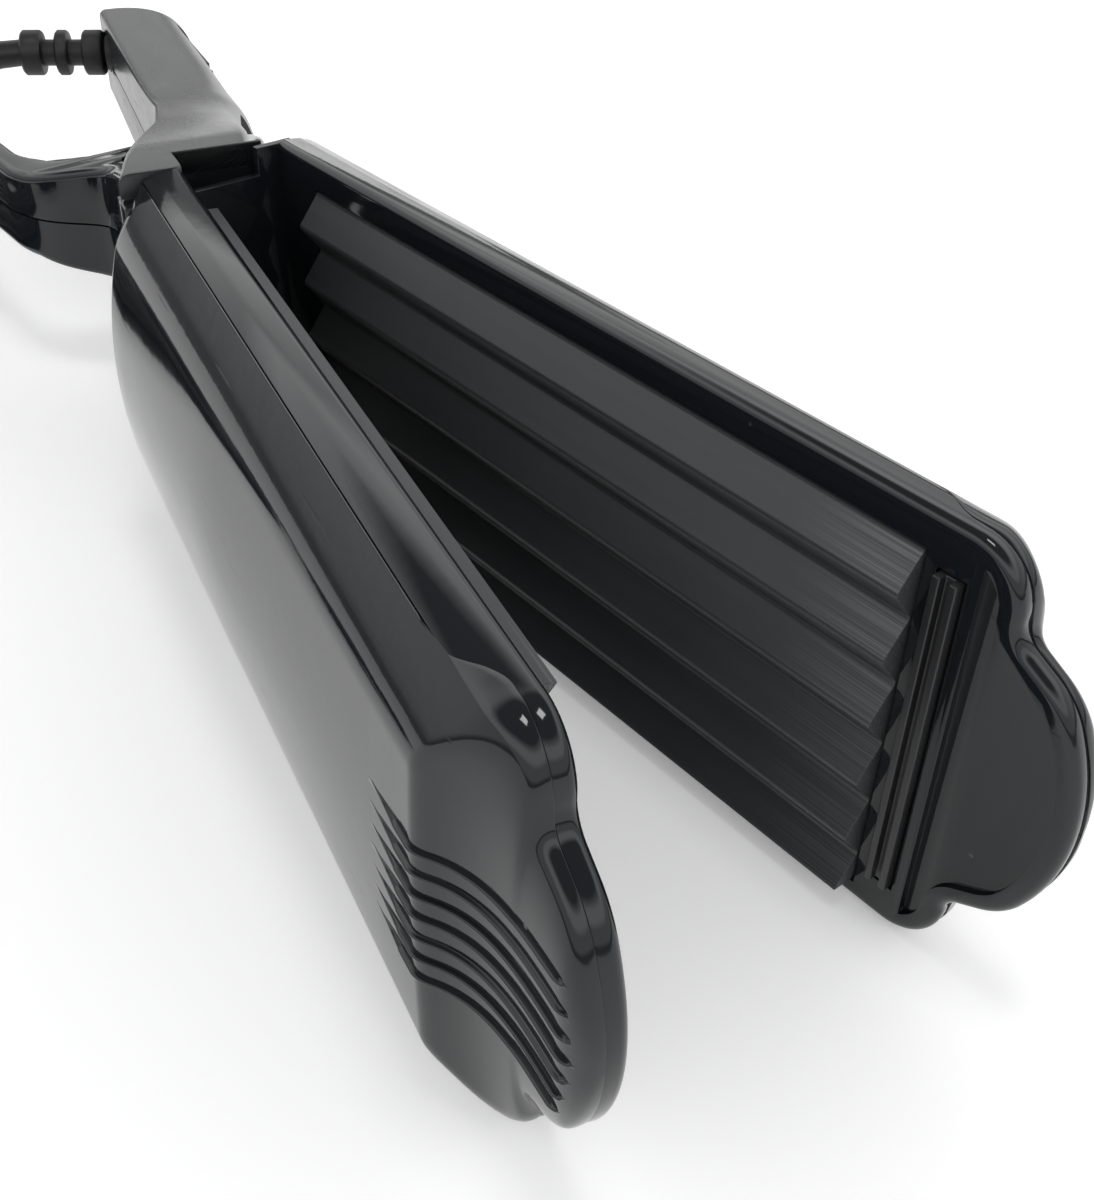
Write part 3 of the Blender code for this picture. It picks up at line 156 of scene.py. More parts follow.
def platesCoat(name, turn=0.0):
    # dark coated aluminium, brushed along the ridges and rubbed paler near the tips
    look = {"dark": (0.030, 0.0325, 0.0345), "pale": (0.062, 0.066, 0.069), "rubbed": (0.22, 0.225, 0.225)}
    made = Finish(name, {"IOR": 1.5, "Specular IOR Level": 0.5})
    where = made.place(turn=-turn)
    fine = made.noise(made.place((14.0, 5200.0, 5200.0), -turn), 1.0, 3.0, 0.7)
    broad = made.noise(made.place((5.0, 900.0, 900.0), -turn), 1.0, 3.0)
    mottle = made.noise(where, 70.0, 4.0)
    along = made.node("ShaderNodeSeparateXYZ", {}, {"Vector": where})
    toTip = made.node("ShaderNodeMapRange", {"interpolation_type": "SMOOTHSTEP"},
                      {"Value": along, "From Min": 0.098, "From Max": 0.112, "To Min": 0.0, "To Max": 1.0})
    brushed = made.ramp(fine, (0.44, 0.0), (0.63, 1.0))
    rub = toTip * brushed
    color = made.mix(broad * 0.5 + mottle * 0.35, look["dark"], look["pale"])
    made.set("Base Color", made.mix(rub * 0.4, color, look["rubbed"]))
    made.set("Metallic", rub * 0.5 + 0.25)
    made.set("Roughness", 0.36 + broad * 0.12 + mottle * 0.08 - rub * 0.06)
    grain = made.bump(fine, 0.00002, 0.4)
    made.set("Normal", made.bump(mottle, 0.00005, 0.12, grain))
    return made.material


def satinBlack(name, turn=0.0):
    # moulded black plastic with a fine spark-eroded grain
    made = Finish(name, {"IOR": 1.5})
    where = made.place(turn=-turn)
    grain = made.noise(where, 2600.0, 3.0, 0.7)
    cloud = made.noise(where, 90.0, 4.0)
    made.set("Base Color", made.mix(cloud * 0.7, (0.010, 0.0105, 0.0115), (0.028, 0.029, 0.031)))
    made.set("Roughness", 0.27 + cloud * 0.16 + grain * 0.06)
    made.set("Normal", made.bump(grain, 0.00003, 0.45))
    return made.material


def softRubber(name):
    # matt flexible sheath with a dusty bloom
    made = Finish(name, {"IOR": 1.48})
    where = made.place()
    grain = made.noise(where, 1900.0, 4.0, 0.7)
    bloom = made.ramp(made.noise(where, 130.0, 4.0), (0.45, 0.0), (0.75, 1.0))
    made.set("Base Color", made.mix(bloom * 0.6, (0.005, 0.005, 0.006), (0.017, 0.017, 0.018)))
    made.set("Roughness", 0.42 + bloom * 0.2 + grain * 0.08)
    made.set("Normal", made.bump(grain, 0.00004, 0.4))
    return made.material


def plainSteel(name):
    # drawn or turned steel with fine lines
    made = Finish(name)
    where = made.place()
    lines = made.noise(made.place((40.0, 900.0, 900.0)), 1.0, 4.0, 0.65)
    cloud = made.noise(where, 160.0, 4.0)
    made.set("Base Color", made.mix(cloud * 0.8, (0.47, 0.47, 0.48), (0.63, 0.62, 0.61)))
    made.set("Metallic", 1.0)
    made.set("Roughness", 0.22 + lines * 0.16 + cloud * 0.1)
    made.set("Normal", made.bump(lines, 0.00003, 0.35))
    return made.material


def lampRed(name):
    # red window with a faceted back
    made = Finish(name, {"IOR": 1.49, "Specular IOR Level": 0.5})
    where = made.place()
    facets = made.node("ShaderNodeTexVoronoi", {"feature": "F1"}, {"Vector": where, "Scale": 1600.0})
    depth = made.noise(where, 500.0, 3.0)
    made.set("Base Color", made.mix(facets * 0.7 + depth * 0.2, (0.30, 0.010, 0.006), (0.62, 0.045, 0.02)))
    made.set("Roughness", 0.10 + depth * 0.08)
    made.set("Normal", made.bump(facets, 0.0001, 0.3))
    return made.material


def boardGreen(name):
    # solder mask over copper tracks
    made = Finish(name, {"IOR": 1.5})
    where = made.place()
    size = {"Vector": where, "Scale": 260.0, "Mortar Size": 0.04}
    tracks = made.node("ShaderNodeTexBrick", {"offset": 0.5}, size)
    weave = made.noise(where, 900.0, 3.0)
    made.set("Base Color", made.mix(tracks * 0.5 + weave * 0.3, (0.012, 0.10, 0.035), (0.035, 0.22, 0.08)))
    made.set("Roughness", 0.3 + weave * 0.2)
    made.set("Normal", made.bump(tracks, 0.00003, 0.5))
    return made.material


def heaterCeramic(name):
    # chalky ceramic, a little stained
    made = Finish(name, {"IOR": 1.6})
    where = made.place()
    chalk = made.noise(where, 700.0, 5.0, 0.7)
    stain = made.noise(where, 90.0, 3.0)
    made.set("Base Color", made.mix(stain * 0.8, (0.74, 0.69, 0.58), (0.55, 0.49, 0.39)))
    made.set("Roughness", 0.55 + chalk * 0.3)
    made.set("Normal", made.bump(chalk, 0.00006, 0.5))
    return made.material


shellOnHandle = glossBlack("gloss_black_handle_side")
# the handle's colour is lifted: a painted sheen standing in for the bright window reflected on its top
handleSheenFinish = glossBlack("black_handle_painted_sheen", 0.0, 0.5, 0.24, 0.016)
shellOnLever = glossBlack("gloss_black_lever_side", hinge["open"], 0.6)
plateOnHandle = platesCoat("plate_coat_handle_side")
plateOnLever = platesCoat("plate_coat_lever_side", hinge["open"])
satinOnHandle = satinBlack("satin_black_handle_side")
satinOnLever = satinBlack("satin_black_lever_side", hinge["open"])
rubber = softRubber("cord_rubber")
steel = plainSteel("plain_steel")
lampLens = lampRed("lamp_lens_red")
boardMask = boardGreen("board_green")
ceramic = heaterCeramic("heater_ceramic")
print("finishes made")


def keep(name, bm, body, material, replaced=(), sharp=32.0):
    # the finished piece: in its place at rest, smooth where it is round, riding on its body
    bmesh.ops.remove_doubles(bm, verts=bm.verts, dist=1e-7)
    bmesh.ops.recalc_face_normals(bm, faces=bm.faces)
    mesh = bpy.data.meshes.new(name)
    bm.to_mesh(mesh)
    bm.free()
    mesh.transform(bodyPlace[body])
    mesh.shade_smooth()
    mesh.set_sharp_from_angle(angle=math.radians(sharp))
    mesh.materials.append(material)
    piece = bpy.data.objects.new(name, mesh)
    bpy.context.scene.collection.objects.link(piece)
    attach(piece, body)
    if replaced:
        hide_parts(*replaced)
    return piece


def wrap(rings):
    # a grid laid over rings of points, closed round and capped at both ends
    bm = bmesh.new()
    rows = len(rings) - 1
    columns = len(rings[0])
    bmesh.ops.create_grid(bm, x_segments=columns, y_segments=rows, size=1.0)
    for vert in bm.verts:
        column = round((vert.co.x + 1) / 2 * columns) % columns
        row = round((vert.co.y + 1) / 2 * rows)
        vert.co = rings[row][column]
    bmesh.ops.remove_doubles(bm, verts=bm.verts, dist=1e-8)
    bmesh.ops.holes_fill(bm, edges=[edge for edge in bm.edges if edge.is_boundary], sides=0)
    return bm


def spun(profile, start, direction, steps):
    # a turned piece from (distance, radius) points
    bm = bmesh.new()
    axis = Vector(direction).normalized()
    side = axis.orthogonal().normalized()
    verts = [bm.verts.new(Vector(start) + axis * along + side * radius) for along, radius in profile]
    edges = [bm.edges.new(pair) for pair in zip(verts, verts[1:])]
    bmesh.ops.spin(bm, geom=verts + edges, axis=axis, cent=start, angle=math.tau, steps=steps, use_merge=True)
    bmesh.ops.holes_fill(bm, edges=[edge for edge in bm.edges if edge.is_boundary], sides=0)
    return bm


def block(low, high):
    bm = bmesh.new()
    bmesh.ops.create_cube(bm, size=1.0)
    middle = (Vector(low) + Vector(high)) / 2
    size = Vector(high) - Vector(low)
    bmesh.ops.scale(bm, vec=size, verts=bm.verts)
    bmesh.ops.translate(bm, vec=middle, verts=bm.verts)
    return bm


def carved(bm, cutters, bevel=0.0, segments=2, angle=30.0, added=()):
    # the solid with what is added and less its cutters, with its sharp edges broken
    body = meshObject("carving", bm)
    tools = []
    for tool, operation in [(tool, "UNION") for tool in added] + [(tool, "DIFFERENCE") for tool in cutters]:
        tools.append(meshObject(f"tool_{len(tools)}", tool))
        change = body.modifiers.new("change", "BOOLEAN")
        change.operation = operation
        change.solver = "EXACT"
        change.object = tools[-1]
    if bevel:
        soften = body.modifiers.new("soften", "BEVEL")
        soften.width = bevel
        soften.segments = segments
        soften.limit_method = "ANGLE"
        soften.angle_limit = math.radians(angle)
    bpy.context.view_layer.update()
    result = bpy.data.meshes.new_from_object(body.evaluated_get(bpy.context.evaluated_depsgraph_get()))
    made = bmesh.new()
    made.from_mesh(result)
    for gone in [body] + tools:
        bpy.data.objects.remove(gone)
    return made


def meshObject(name, bm):
    bmesh.ops.recalc_face_normals(bm, faces=bm.faces)
    mesh = bpy.data.meshes.new(name)
    bm.to_mesh(mesh)
    bm.free()
    made = bpy.data.objects.new(name, mesh)
    bpy.context.scene.collection.objects.link(made)
    return made


def smoothStep(low, high, x):
    share = min(max((x - low) / (high - low), 0.0), 1.0)
    return share * share * (3 - 2 * share)


def between(table, x):
    for (x0, v0), (x1, v1) in zip(table, table[1:]):
        if x <= x1:
            return v0 + (v1 - v0) * max(x - x0, 0.0) / (x1 - x0)
    return table[-1][1]


def shortfall(x, start, radius):
    # how far a rounded end falls short of full height at x
    short = (start + radius - x) / radius
    return radius * (1 - math.sqrt(max(1 - short * short, 0.0)))


def risingCorner(side, high, edge):
    # points round the corner from a side up to the top
    angles = [math.pi / 2 * i / 6 for i in range(1, 6)]
    return [(side + edge * (1 - math.cos(angle)), high - edge * (1 - math.sin(angle))) for angle in angles]


def flowing(table, x, blur):
    # the table's value with its corners eased over a short distance
    steps = 6
    return sum(between(table, x + blur * (i / steps * 2 - 1)) for i in range(steps + 1)) / (steps + 1)


def makeCamera():
    view = {"place": (0.1904, -0.0388, 0.12425), "look": (-0.7100, 0.3516, -0.6101),
            "up": (-0.5611, 0.2411, 0.7919), "lens": 44.56, "sensor": 36.0}
    data = bpy.data.cameras.new("camera")
    data.lens = view["lens"]
    data.sensor_width = view["sensor"]
    data.clip_start = 0.01
    camera = bpy.data.objects.new("camera", data)
    back = -Vector(view["look"]).normalized()
    right = Vector(view["up"]).cross(back).normalized()
    up = back.cross(right)
    turn = Matrix((right, up, back)).transposed()
    camera.matrix_world = Matrix.Translation(view["place"]) @ turn.to_4x4()
    bpy.context.scene.collection.objects.link(camera)
    bpy.context.scene.camera = camera


def ceilingLamp():
    part = {"place": (0.10, 0.05, 1.15), "side": 0.25, "power": 2.0}
    data = bpy.data.lights.new("ceiling_lamp", "AREA")
    data.shape = "RECTANGLE"
    data.size = data.size_y = part["side"]
    data.energy = part["power"]
    lamp = bpy.data.objects.new("ceiling_lamp", data)
    lamp.location = part["place"]
    lamp.rotation_mode = "QUATERNION"
    lamp.rotation_quaternion = (-Vector(part["place"])).to_track_quat("-Z", "Y")
    bpy.context.scene.collection.objects.link(lamp)


def makeLight():
    # a white table in a pale room, with a dark gap where the table ends
    room = {"gap": 0.22, "wall": 0.90, "panels": 1.75, "ceiling": 0.20, "floorColor": 0.93, "floorLift": 0.25,
            "tableHalf": 6.0, "tableDrop": 0.0002}
    bpy.context.scene.view_settings.view_transform = "Standard"
    world = bpy.data.worlds.new("room")
    bpy.context.scene.world = world
    world.use_nodes = True
    tree = world.node_tree
    coords = tree.nodes.new("ShaderNodeTexCoord")
    parts = tree.nodes.new("ShaderNodeSeparateXYZ")
    ramp = tree.nodes.new("ShaderNodeValToRGB")
    stops = ((0.0, room["gap"]), (0.06, room["gap"]), (0.14, room["wall"]), (0.38, room["wall"]),
             (0.50, room["panels"]), (0.66, room["panels"]), (0.82, room["ceiling"]), (1.0, room["ceiling"]))
    while len(ramp.color_ramp.elements) < len(stops):
        ramp.color_ramp.elements.new(0.5)
    for element, (position, value) in zip(ramp.color_ramp.elements, stops):
        element.position = position
        element.color = (value, value, value, 1.0)
    tree.links.new(coords.outputs["Generated"], parts.inputs[0])
    tree.links.new(parts.outputs["Z"], ramp.inputs["Fac"])
    shade = tree.nodes["Background"]
    tree.links.new(ramp.outputs["Color"], shade.inputs["Color"])

    ceilingLamp()

    bm = bmesh.new()
    bmesh.ops.create_grid(bm, x_segments=1, y_segments=1, size=room["tableHalf"])
    bmesh.ops.translate(bm, vec=(0.0, 0.0, -room["tableDrop"]), verts=bm.verts)
    floor = meshObject("table_top", bm)
    top = Finish("white_table", {"Roughness": 0.6, "Specular IOR Level": 0.2})
    paper = top.noise(top.place(), 14.0, 4.0)
    level = room["floorColor"]
    shaded = (level * 0.985, level * 0.985, level * 0.99)
    top.set("Base Color", top.mix(paper * 0.5, (level, level, level), shaded))
    seen = top.node("ShaderNodeLightPath", output="Is Camera Ray")
    mirrored = top.node("ShaderNodeLightPath", output="Is Glossy Ray")
    through = top.node("ShaderNodeLightPath", output="Is Transmission Ray")
    top.shader.inputs["Emission Color"].default_value = (1.0, 1.0, 1.0, 1.0)
    top.set("Emission Strength", (seen + mirrored + through) * room["floorLift"])
    floor.data.materials.append(top.material)


makeCamera()
makeLight()
print("camera and light set")


# Shape of a jaw: x along it, depth away from the other jaw, z from its middle
jaw = {
    "halfHeight": 0.0254, "rootA": 0.0463, "rootB": 0.0456, "plateFar": 0.0505, "plateNear": 0.1520,
    "shoulderX": 0.1628, "shoulder": 0.0065, "neck": 0.0032, "neckTurn": math.radians(62), "neckRun": 0.0025,
    "corner": 0.0090, "cornerTurn": math.radians(28), "faceA": -0.0098, "faceB": -0.0064,
    "rootDepth": 0.0128, "tipDepth": 0.0102, "taperStart": 0.0950, "backCorner": 0.1530, "flare": 0.0047,
    "tongueDepth": 0.0049, "tipRound": 0.0035, "rootRound": 0.0034, "tongueFull": 3.2, "bevelDepth": 0.0100,
    "bevelWide": 0.0067, "bevelRound": 0.0013, "draft": 0.0010, "seamLine": 0.00012,
    "seam": 0.0053, "tongueSeam": 0.0023, "seamStep": 0.1552, "gap": 0.0003, "lapStart": 0.1478, "lap": 0.00006,
    "lip": 0.00016, "hold": 0.00010, "backB": 0.0414, "tongueStart": 0.1625, "flareLead": 0.006,
    "flareEase": 0.0010, "cornerEase": 0.0007, "leastCrown": 0.004,
}
neckZ = jaw["halfHeight"] - jaw["shoulder"]
cornerReach = jaw["neck"] + jaw["corner"]
cornerX = (jaw["shoulderX"] + jaw["neck"] + jaw["neckRun"] * math.sin(jaw["neckTurn"])
           - cornerReach * math.cos(jaw["neckTurn"]))
cornerZ = neckZ - jaw["neckRun"] * math.cos(jaw["neckTurn"]) - cornerReach * math.sin(jaw["neckTurn"])
tongueRadius = jaw["corner"] + cornerZ / math.sin(jaw["cornerTurn"])
tongueX = cornerX - (tongueRadius - jaw["corner"]) * math.cos(jaw["cornerTurn"])
tipX = tongueX + tongueRadius
middleZ = hinge["middleZ"]


def halfOutline(inset, root, steps=14):
    # upper half of the bell outline, drawn in by inset, from the root to the tip
    points = [(root, jaw["halfHeight"] - inset)]
    arcs = (
        ((jaw["shoulderX"] - jaw["shoulder"], neckZ), jaw["shoulder"] - inset, math.pi / 2, 0.0),
        ((jaw["shoulderX"] + jaw["neck"], neckZ), jaw["neck"] + inset, math.pi, math.pi + jaw["neckTurn"]),
        ((cornerX, cornerZ), jaw["corner"] - inset, jaw["neckTurn"], jaw["cornerTurn"]),
        ((tongueX, 0.0), tongueRadius - inset, jaw["cornerTurn"], 0.0),
    )
    for number, (centre, radius, start, end) in enumerate(arcs):
        first = 1 if number in (1, 3) else 0
        for i in range(first, steps + 1):
            angle = start + (end - start) * i / steps
            points.append((centre[0] + radius * math.cos(angle), centre[1] + radius * math.sin(angle)))
    return points


outlineTable = halfOutline(0.0, 0.0, 24)


def outline(x):
    return between(outlineTable, x)


def taperDepth(x):
    return between(((jaw["taperStart"], jaw["rootDepth"]), (jaw["backCorner"], jaw["tipDepth"])), x)


def flareDepth(x):
    fall = math.exp((jaw["backCorner"] - x) / jaw["flare"])
    return jaw["tongueDepth"] + (jaw["tipDepth"] - jaw["tongueDepth"]) * fall


def rawDepth(x):
    return flareDepth(x) if x > jaw["backCorner"] else taperDepth(x)


def backDepth(x):
    # the tongue's back along its middle, rounded a little where the flare starts and at the tip
    ease = jaw["cornerEase"]
    depth = sum(rawDepth(x + ease * k / 3) for k in range(-3, 4)) / 7
    if x > tipX - jaw["tipRound"]:
        past = (x - tipX + jaw["tipRound"]) / jaw["tipRound"]
        depth = jaw["tongueSeam"] + (depth - jaw["tongueSeam"]) * math.sqrt(max(1 - past * past, 0.0))
    return depth


def softMin(a, b, width):
    close = max(width - abs(a - b), 0.0) / width
    return min(a, b) - close * close * width / 4


def lapped(x):
    # how far the shell has come down over the frame's side, on its way to the tongue
    return smoothStep(jaw["lapStart"], jaw["seamStep"], x)


def lapOffset(x):
    return jaw["lap"] * smoothStep(jaw["lapStart"] - 0.0004, jaw["lapStart"] + 0.0012, x)


def baseDepth(x):
    low = lapped(x)
    return jaw["seam"] + (jaw["tongueSeam"] - jaw["seam"]) * low + jaw["seamLine"] * (1 - low * 2 / 3)


def edgeInset(depth):
    # the frame's drafted side, told by its depth
    draft, knee = jaw["draft"], jaw["seam"] * 2 / 3
    if depth > knee:
        return draft / 3 + (depth - knee) * 2 * draft / jaw["seam"]
    return draft / 3 - (knee - depth) / 7


def sideDepth(x, z):
    inset = outline(x) + lapOffset(x) - abs(z)
    draft = jaw["draft"]
    if inset < draft / 3:
        return jaw["seam"] * 2 / 3 - (draft / 3 - inset) * 7
    return jaw["seam"] * 2 / 3 + (inset - draft / 3) * jaw["seam"] / 2 / draft


def surfaceDepth(x, z, root):
    # the back shell's outer surface: bevelled sides and a low crown, then the flare and the tongue
    wide = outline(x)
    base = jaw["seam"]
    deep = taperDepth(x)
    corner = jaw["bevelDepth"]
    crownZ = wide - jaw["bevelWide"]
    slope = (corner - base) / (jaw["bevelWide"] - jaw["draft"])
    bevel = base + slope * (wide - jaw["draft"] - abs(z))
    crown = deep - (deep - corner) * (z / max(crownZ, jaw["leastCrown"])) ** 2
    depth = softMin(bevel, crown, jaw["bevelRound"])
    past = smoothStep(jaw["seamStep"] - 0.0006, jaw["tongueStart"], x)
    if x > jaw["backCorner"] - jaw["flareLead"]:
        depth = softMin(depth, flareDepth(x), jaw["flareEase"])
    if x > jaw["lapStart"]:
        rim = wide - edgeInset(baseDepth(x)) + lapOffset(x)
        share = min(abs(z) / rim, 1.0)
        low = jaw["tongueSeam"]
        power = jaw["tongueFull"]
        tongue = low + (backDepth(x) - low) * (1 - share**power) ** (1 / power)
        depth = min(depth, sideDepth(x, z)) * (1 - past) + tongue * past
    if x < root + jaw["rootRound"]:
        fall = shortfall(x, root, jaw["rootRound"]) / (deep - base)
        depth = base + (depth - base) * (1 - fall)
    return depth


def jawPlace(face, away):
    return lambda x, depth, z: Vector((x, face + away * depth, middleZ + z))


grip = {"count": 7, "pitch": 0.0027, "halfWidth": 0.00025, "proud": 0.00044, "start": 0.1474, "margin": 0.0015,
        "middleBand": 0.0088, "middleSteps": 250, "sideSteps": 26, "rise": 0.0022, "fall": 0.0009}
gripEnds = []
for number in range(grip["count"]):
    ribZ = (number - (grip["count"] - 1) / 2) * grip["pitch"]
    reach = max(x for x, high in halfOutline(grip["margin"], 0.0, 40) if high >= abs(ribZ))
    gripEnds.append((ribZ, reach))


def ribHeight(x, z):
    # how far the grip ribs stand proud here
    tall = 0.0
    for ribZ, reach in gripEnds:
        across = abs(z - ribZ)
        if across > grip["halfWidth"] or x < grip["start"] or x > reach:
            continue
        ends = min((x - grip["start"]) / grip["rise"], 1.0) * math.sqrt(min((reach - x) / grip["fall"], 1.0))
        narrow = grip["halfWidth"] * (0.7 + 0.3 * min(ends, 1.0))
        if across < narrow:
            tall = max(tall, grip["proud"] * ends ** 0.7 * (1 - (across / narrow) ** 2) ** 0.7)
    return tall


def evenly(line, count):
    # points at even steps along a line of points, without its first
    lengths = [0.0]
    for a, b in zip(line, line[1:]):
        lengths.append(lengths[-1] + math.dist(a, b))
    points = []
    at = 1
    for i in range(1, count + 1):
        target = lengths[-1] * i / count
        while at < len(lengths) - 1 and lengths[at] < target:
            at += 1
        part = min((target - lengths[at - 1]) / max(lengths[at] - lengths[at - 1], 1e-12), 1.0)
        a, b = line[at - 1], line[at]
        points.append((a[0] + (b[0] - a[0]) * part, a[1] + (b[1] - a[1]) * part))
    return points


def jawRing(x, base, root):
    # (depth, z) points of the back at x, closest together where the ribs are
    edgeZ = outline(x) - edgeInset(base) + lapOffset(x)
    power = 1.6 + (jaw["tongueFull"] - 1.6) * lapped(x)
    band = min(grip["middleBand"], edgeZ * 0.86)
    lip = jaw["lip"]
    turnZ = max(min(outline(x) - jaw["draft"], edgeZ - lip * 2.2), band + (edgeZ - band) * 0.5)
    face, lap = [(surfaceDepth(x, band, root), band)], []
    for i in range(400):
        z = edgeZ * math.sin(math.pi / 2 * i / 400) ** (2 / power)
        depth = surfaceDepth(x, z, root)
        if band < z < turnZ and depth > base:
            face.append((depth, z))
        elif z >= turnZ and depth > base + lip / 2:
            lap.append((depth, z))
    corner = (max(surfaceDepth(x, turnZ, root), base + lip), turnZ)
    edge = (base, edgeZ)
    last = lap[-1] if lap else corner
    share = min(lip / max(math.dist(last, edge), 1e-9), 0.9)
    last = tuple(e + (a - e) * share for a, e in zip(last, edge))
    under = (base, edgeZ - lip)
    rounded = [tuple(a * (1 - t) ** 2 + e * 2 * t * (1 - t) + u * t * t for a, e, u in zip(last, edge, under))
               for t in (0.0, 0.33, 0.67, 1.0)]
    heldZ = turnZ - jaw["hold"]
    held = (max(surfaceDepth(x, heldZ, root), base + lip), heldZ)
    face = [point for point in face if point[1] < heldZ] + [held]
    side = evenly(face, grip["sideSteps"]) + [corner] + evenly([corner] + lap + rounded[:1], 4)[:-1] + rounded
    middle = []
    for i in range(grip["middleSteps"] + 1):
        z = band * (i / grip["middleSteps"] * 2 - 1)
        middle.append((max(surfaceDepth(x, z, root), base), z))
    return [(depth, -z) for depth, z in reversed(side)] + middle + side


def jawStations(root):
    # where the back's rings are: far apart on the plain stretch, close together on the ribs and at the tip
    step = {"plain": 0.0055, "plainEnd": 0.1440, "ribs": 0.0004, "ribsEnd": 0.1640, "tongue": 0.00025,
            "tongueLeft": 0.0012, "tip": 0.0010}
    stations = [root + jaw["rootRound"] * (1 - math.cos(math.pi / 2 * i / 10)) for i in range(11)]
    stations[0] = root + jaw["rootRound"] * 0.004
    x = stations[-1]
    while x < step["plainEnd"]:
        x += step["plain"]
        stations.append(min(x, step["plainEnd"]))
    while x < tipX - step["tongueLeft"]:
        x += step["ribs"] if x < step["ribsEnd"] else step["tongue"]
        stations.append(x)
    stations = [x for x in stations if x < tipX - step["tip"]]
    stations += [tipX - step["tip"] * share for share in (0.8, 0.6, 0.42, 0.28, 0.16, 0.08)]
    return sorted(set(stations))


def jawShell(letter, face, away, root, body, finish):
    # back shell as one closed skin from the root to the tip, with the grip ribs raised along its surface
    place = jawPlace(face, away)
    near = 0.0003
    rings = []
    for x in jawStations(root):
        base = baseDepth(x)
        ring = []
        for depth, z in jawRing(x, base, root):
            proud = ribHeight(x, z)
            if proud:
                slope = (surfaceDepth(x + near, z, root) - surfaceDepth(x - near, z, root)) / (near * 2)
                out = Vector((-slope, 1.0)).normalized()
                ring.append(place(x + out.x * proud, depth + out.y * proud, z))
            else:
                ring.append(place(x, depth, z))
        rings.append(ring)
    first = rings[0]
    middle = sum(first, Vector()) / len(first)
    base = place(0, jaw["seam"] + jaw["seamLine"], 0).y
    ends = []
    for share in (0.02, 0.35, 0.7):
        drawn = 0.25 + 0.75 * share
        ends.append([Vector((p.x, base + (p.y - base) * share, middle.z + (p.z - middle.z) * drawn))
                     for p in first])
    point = place(tipX, jaw["tongueSeam"] + jaw["seamLine"] / 3, 0.0)
    bm = wrap(ends + rings + [[point.lerp(p, 0.35) for p in rings[-1]], [point] * len(first)])
    return keep(f"jaw_back_{letter}", bm, body, finish, (f"jaw_shell_{letter}",), 40.0)


def outlineRing(inset, root):
    half = halfOutline(inset, root)
    return half + [(x, -z) for x, z in reversed(half[:-1])]


def jawFrame(letter, face, away, root, body, finish):
    # front frame with its window, strip seat and the sunk panel in the tongue
    part = {"edge": 0.0011, "openHalf": 0.0223, "shift": -0.0008, "pocketFront": 0.0016, "flange": 0.0008,
            "stripStart": 0.1539, "stripWidth": 0.0028, "stripHalf": 0.0200, "stripDepth": 0.0012,
            "panelStart": 0.1584, "panelRim": 0.0022, "panelDepth": 0.0009, "beyond": 0.03}
    place = jawPlace(face, away)
    levels = []
    for i in range(7):
        angle = math.pi / 2 * i / 6
        levels.append((part["edge"] * (1 - math.sin(angle)), part["edge"] * (1 - math.cos(angle))))
    levels += [(jaw["draft"] / 3, jaw["seam"] * 2 / 3), (jaw["draft"], jaw["seam"])]
    rings = [[place(x, depth, z) for x, z in outlineRing(inset, root)] for inset, depth in levels]
    frameBody = wrap(rings)

    def slab(low, high):
        a, b = place(*low), place(*high)
        return block([min(a[i], b[i]) for i in range(3)], [max(a[i], b[i]) for i in range(3)])

    gap = jaw["gap"]
    openHalf = part["openHalf"]
    window = slab((jaw["plateFar"] - gap, -over, part["shift"] - openHalf),
                  (jaw["plateNear"] + gap, jaw["seam"] + over, part["shift"] + openHalf))
    wide = openHalf + part["flange"]
    pocket = slab((jaw["plateFar"] - gap - part["flange"], part["pocketFront"], part["shift"] - wide),
                  (jaw["plateNear"] + gap + part["flange"], jaw["seam"] + over, part["shift"] + wide))
    stripEnd = part["stripStart"] + part["stripWidth"]
    seat = slab((part["stripStart"] - gap, -over, -part["stripHalf"] - gap),
                (stripEnd + gap, part["stripDepth"] + gap, part["stripHalf"] + gap))
    step = slab((jaw["seamStep"] - gap * 2, jaw["tongueSeam"], -part["beyond"]),
                (tipX + over, jaw["seam"] + over, part["beyond"]))
    rim = [point for point in outlineRing(part["panelRim"], root) if point[0] > part["panelStart"]]
    high = between(halfOutline(part["panelRim"], 0.0, 24), part["panelStart"])
    edge = [(part["panelStart"], high)] + rim + [(part["panelStart"], -high)]
    panel = wrap([[place(x, depth, z) for x, z in edge] for depth in (-over, part["panelDepth"])])
    bm = carved(frameBody, [window, pocket, seat, step, panel], 0.00022, 2, 40.0)
    return keep(f"jaw_front_{letter}", bm, body, finish, (f"jaw_frame_{letter}",), 30.0)


def ridgedPlate(letter, face, away, crest, crestFirst, body, finish):
    part = {"pitch": 0.0080, "halves": 11, "height": 0.0028, "flat": 0.0005, "flange": 0.0008, "front": 0.0019,
            "back": 0.00315, "shift": -0.0008}
    place = jawPlace(face, away)
    half = part["pitch"] * part["halves"] / 4
    front = []
    for number in range(part["halves"] + 1):
        z = half - number * part["pitch"] / 2
        isCrest = (number % 2 == 0) == crestFirst
        depth = -crest if isCrest else part["height"] - crest
        front += [(depth, min(z + part["flat"] / 2, half)), (depth, max(z - part["flat"] / 2, -half))]
    wide = half + part["flange"]
    ring = front + [(part["front"], -half), (part["front"], -wide), (part["back"], -wide)]
    ring += [(part["back"], wide), (part["front"], wide), (part["front"], half)]
    ends = (jaw["plateFar"], jaw["plateNear"])
    bm = wrap([[place(x, depth, z + part["shift"]) for depth, z in ring] for x in ends])
    bm = carved(bm, [], 0.00012, 2, 25.0)
    return keep(f"ridged_plate_{letter}", bm, body, finish, (f"crimping_plate_{letter}",), 30.0)


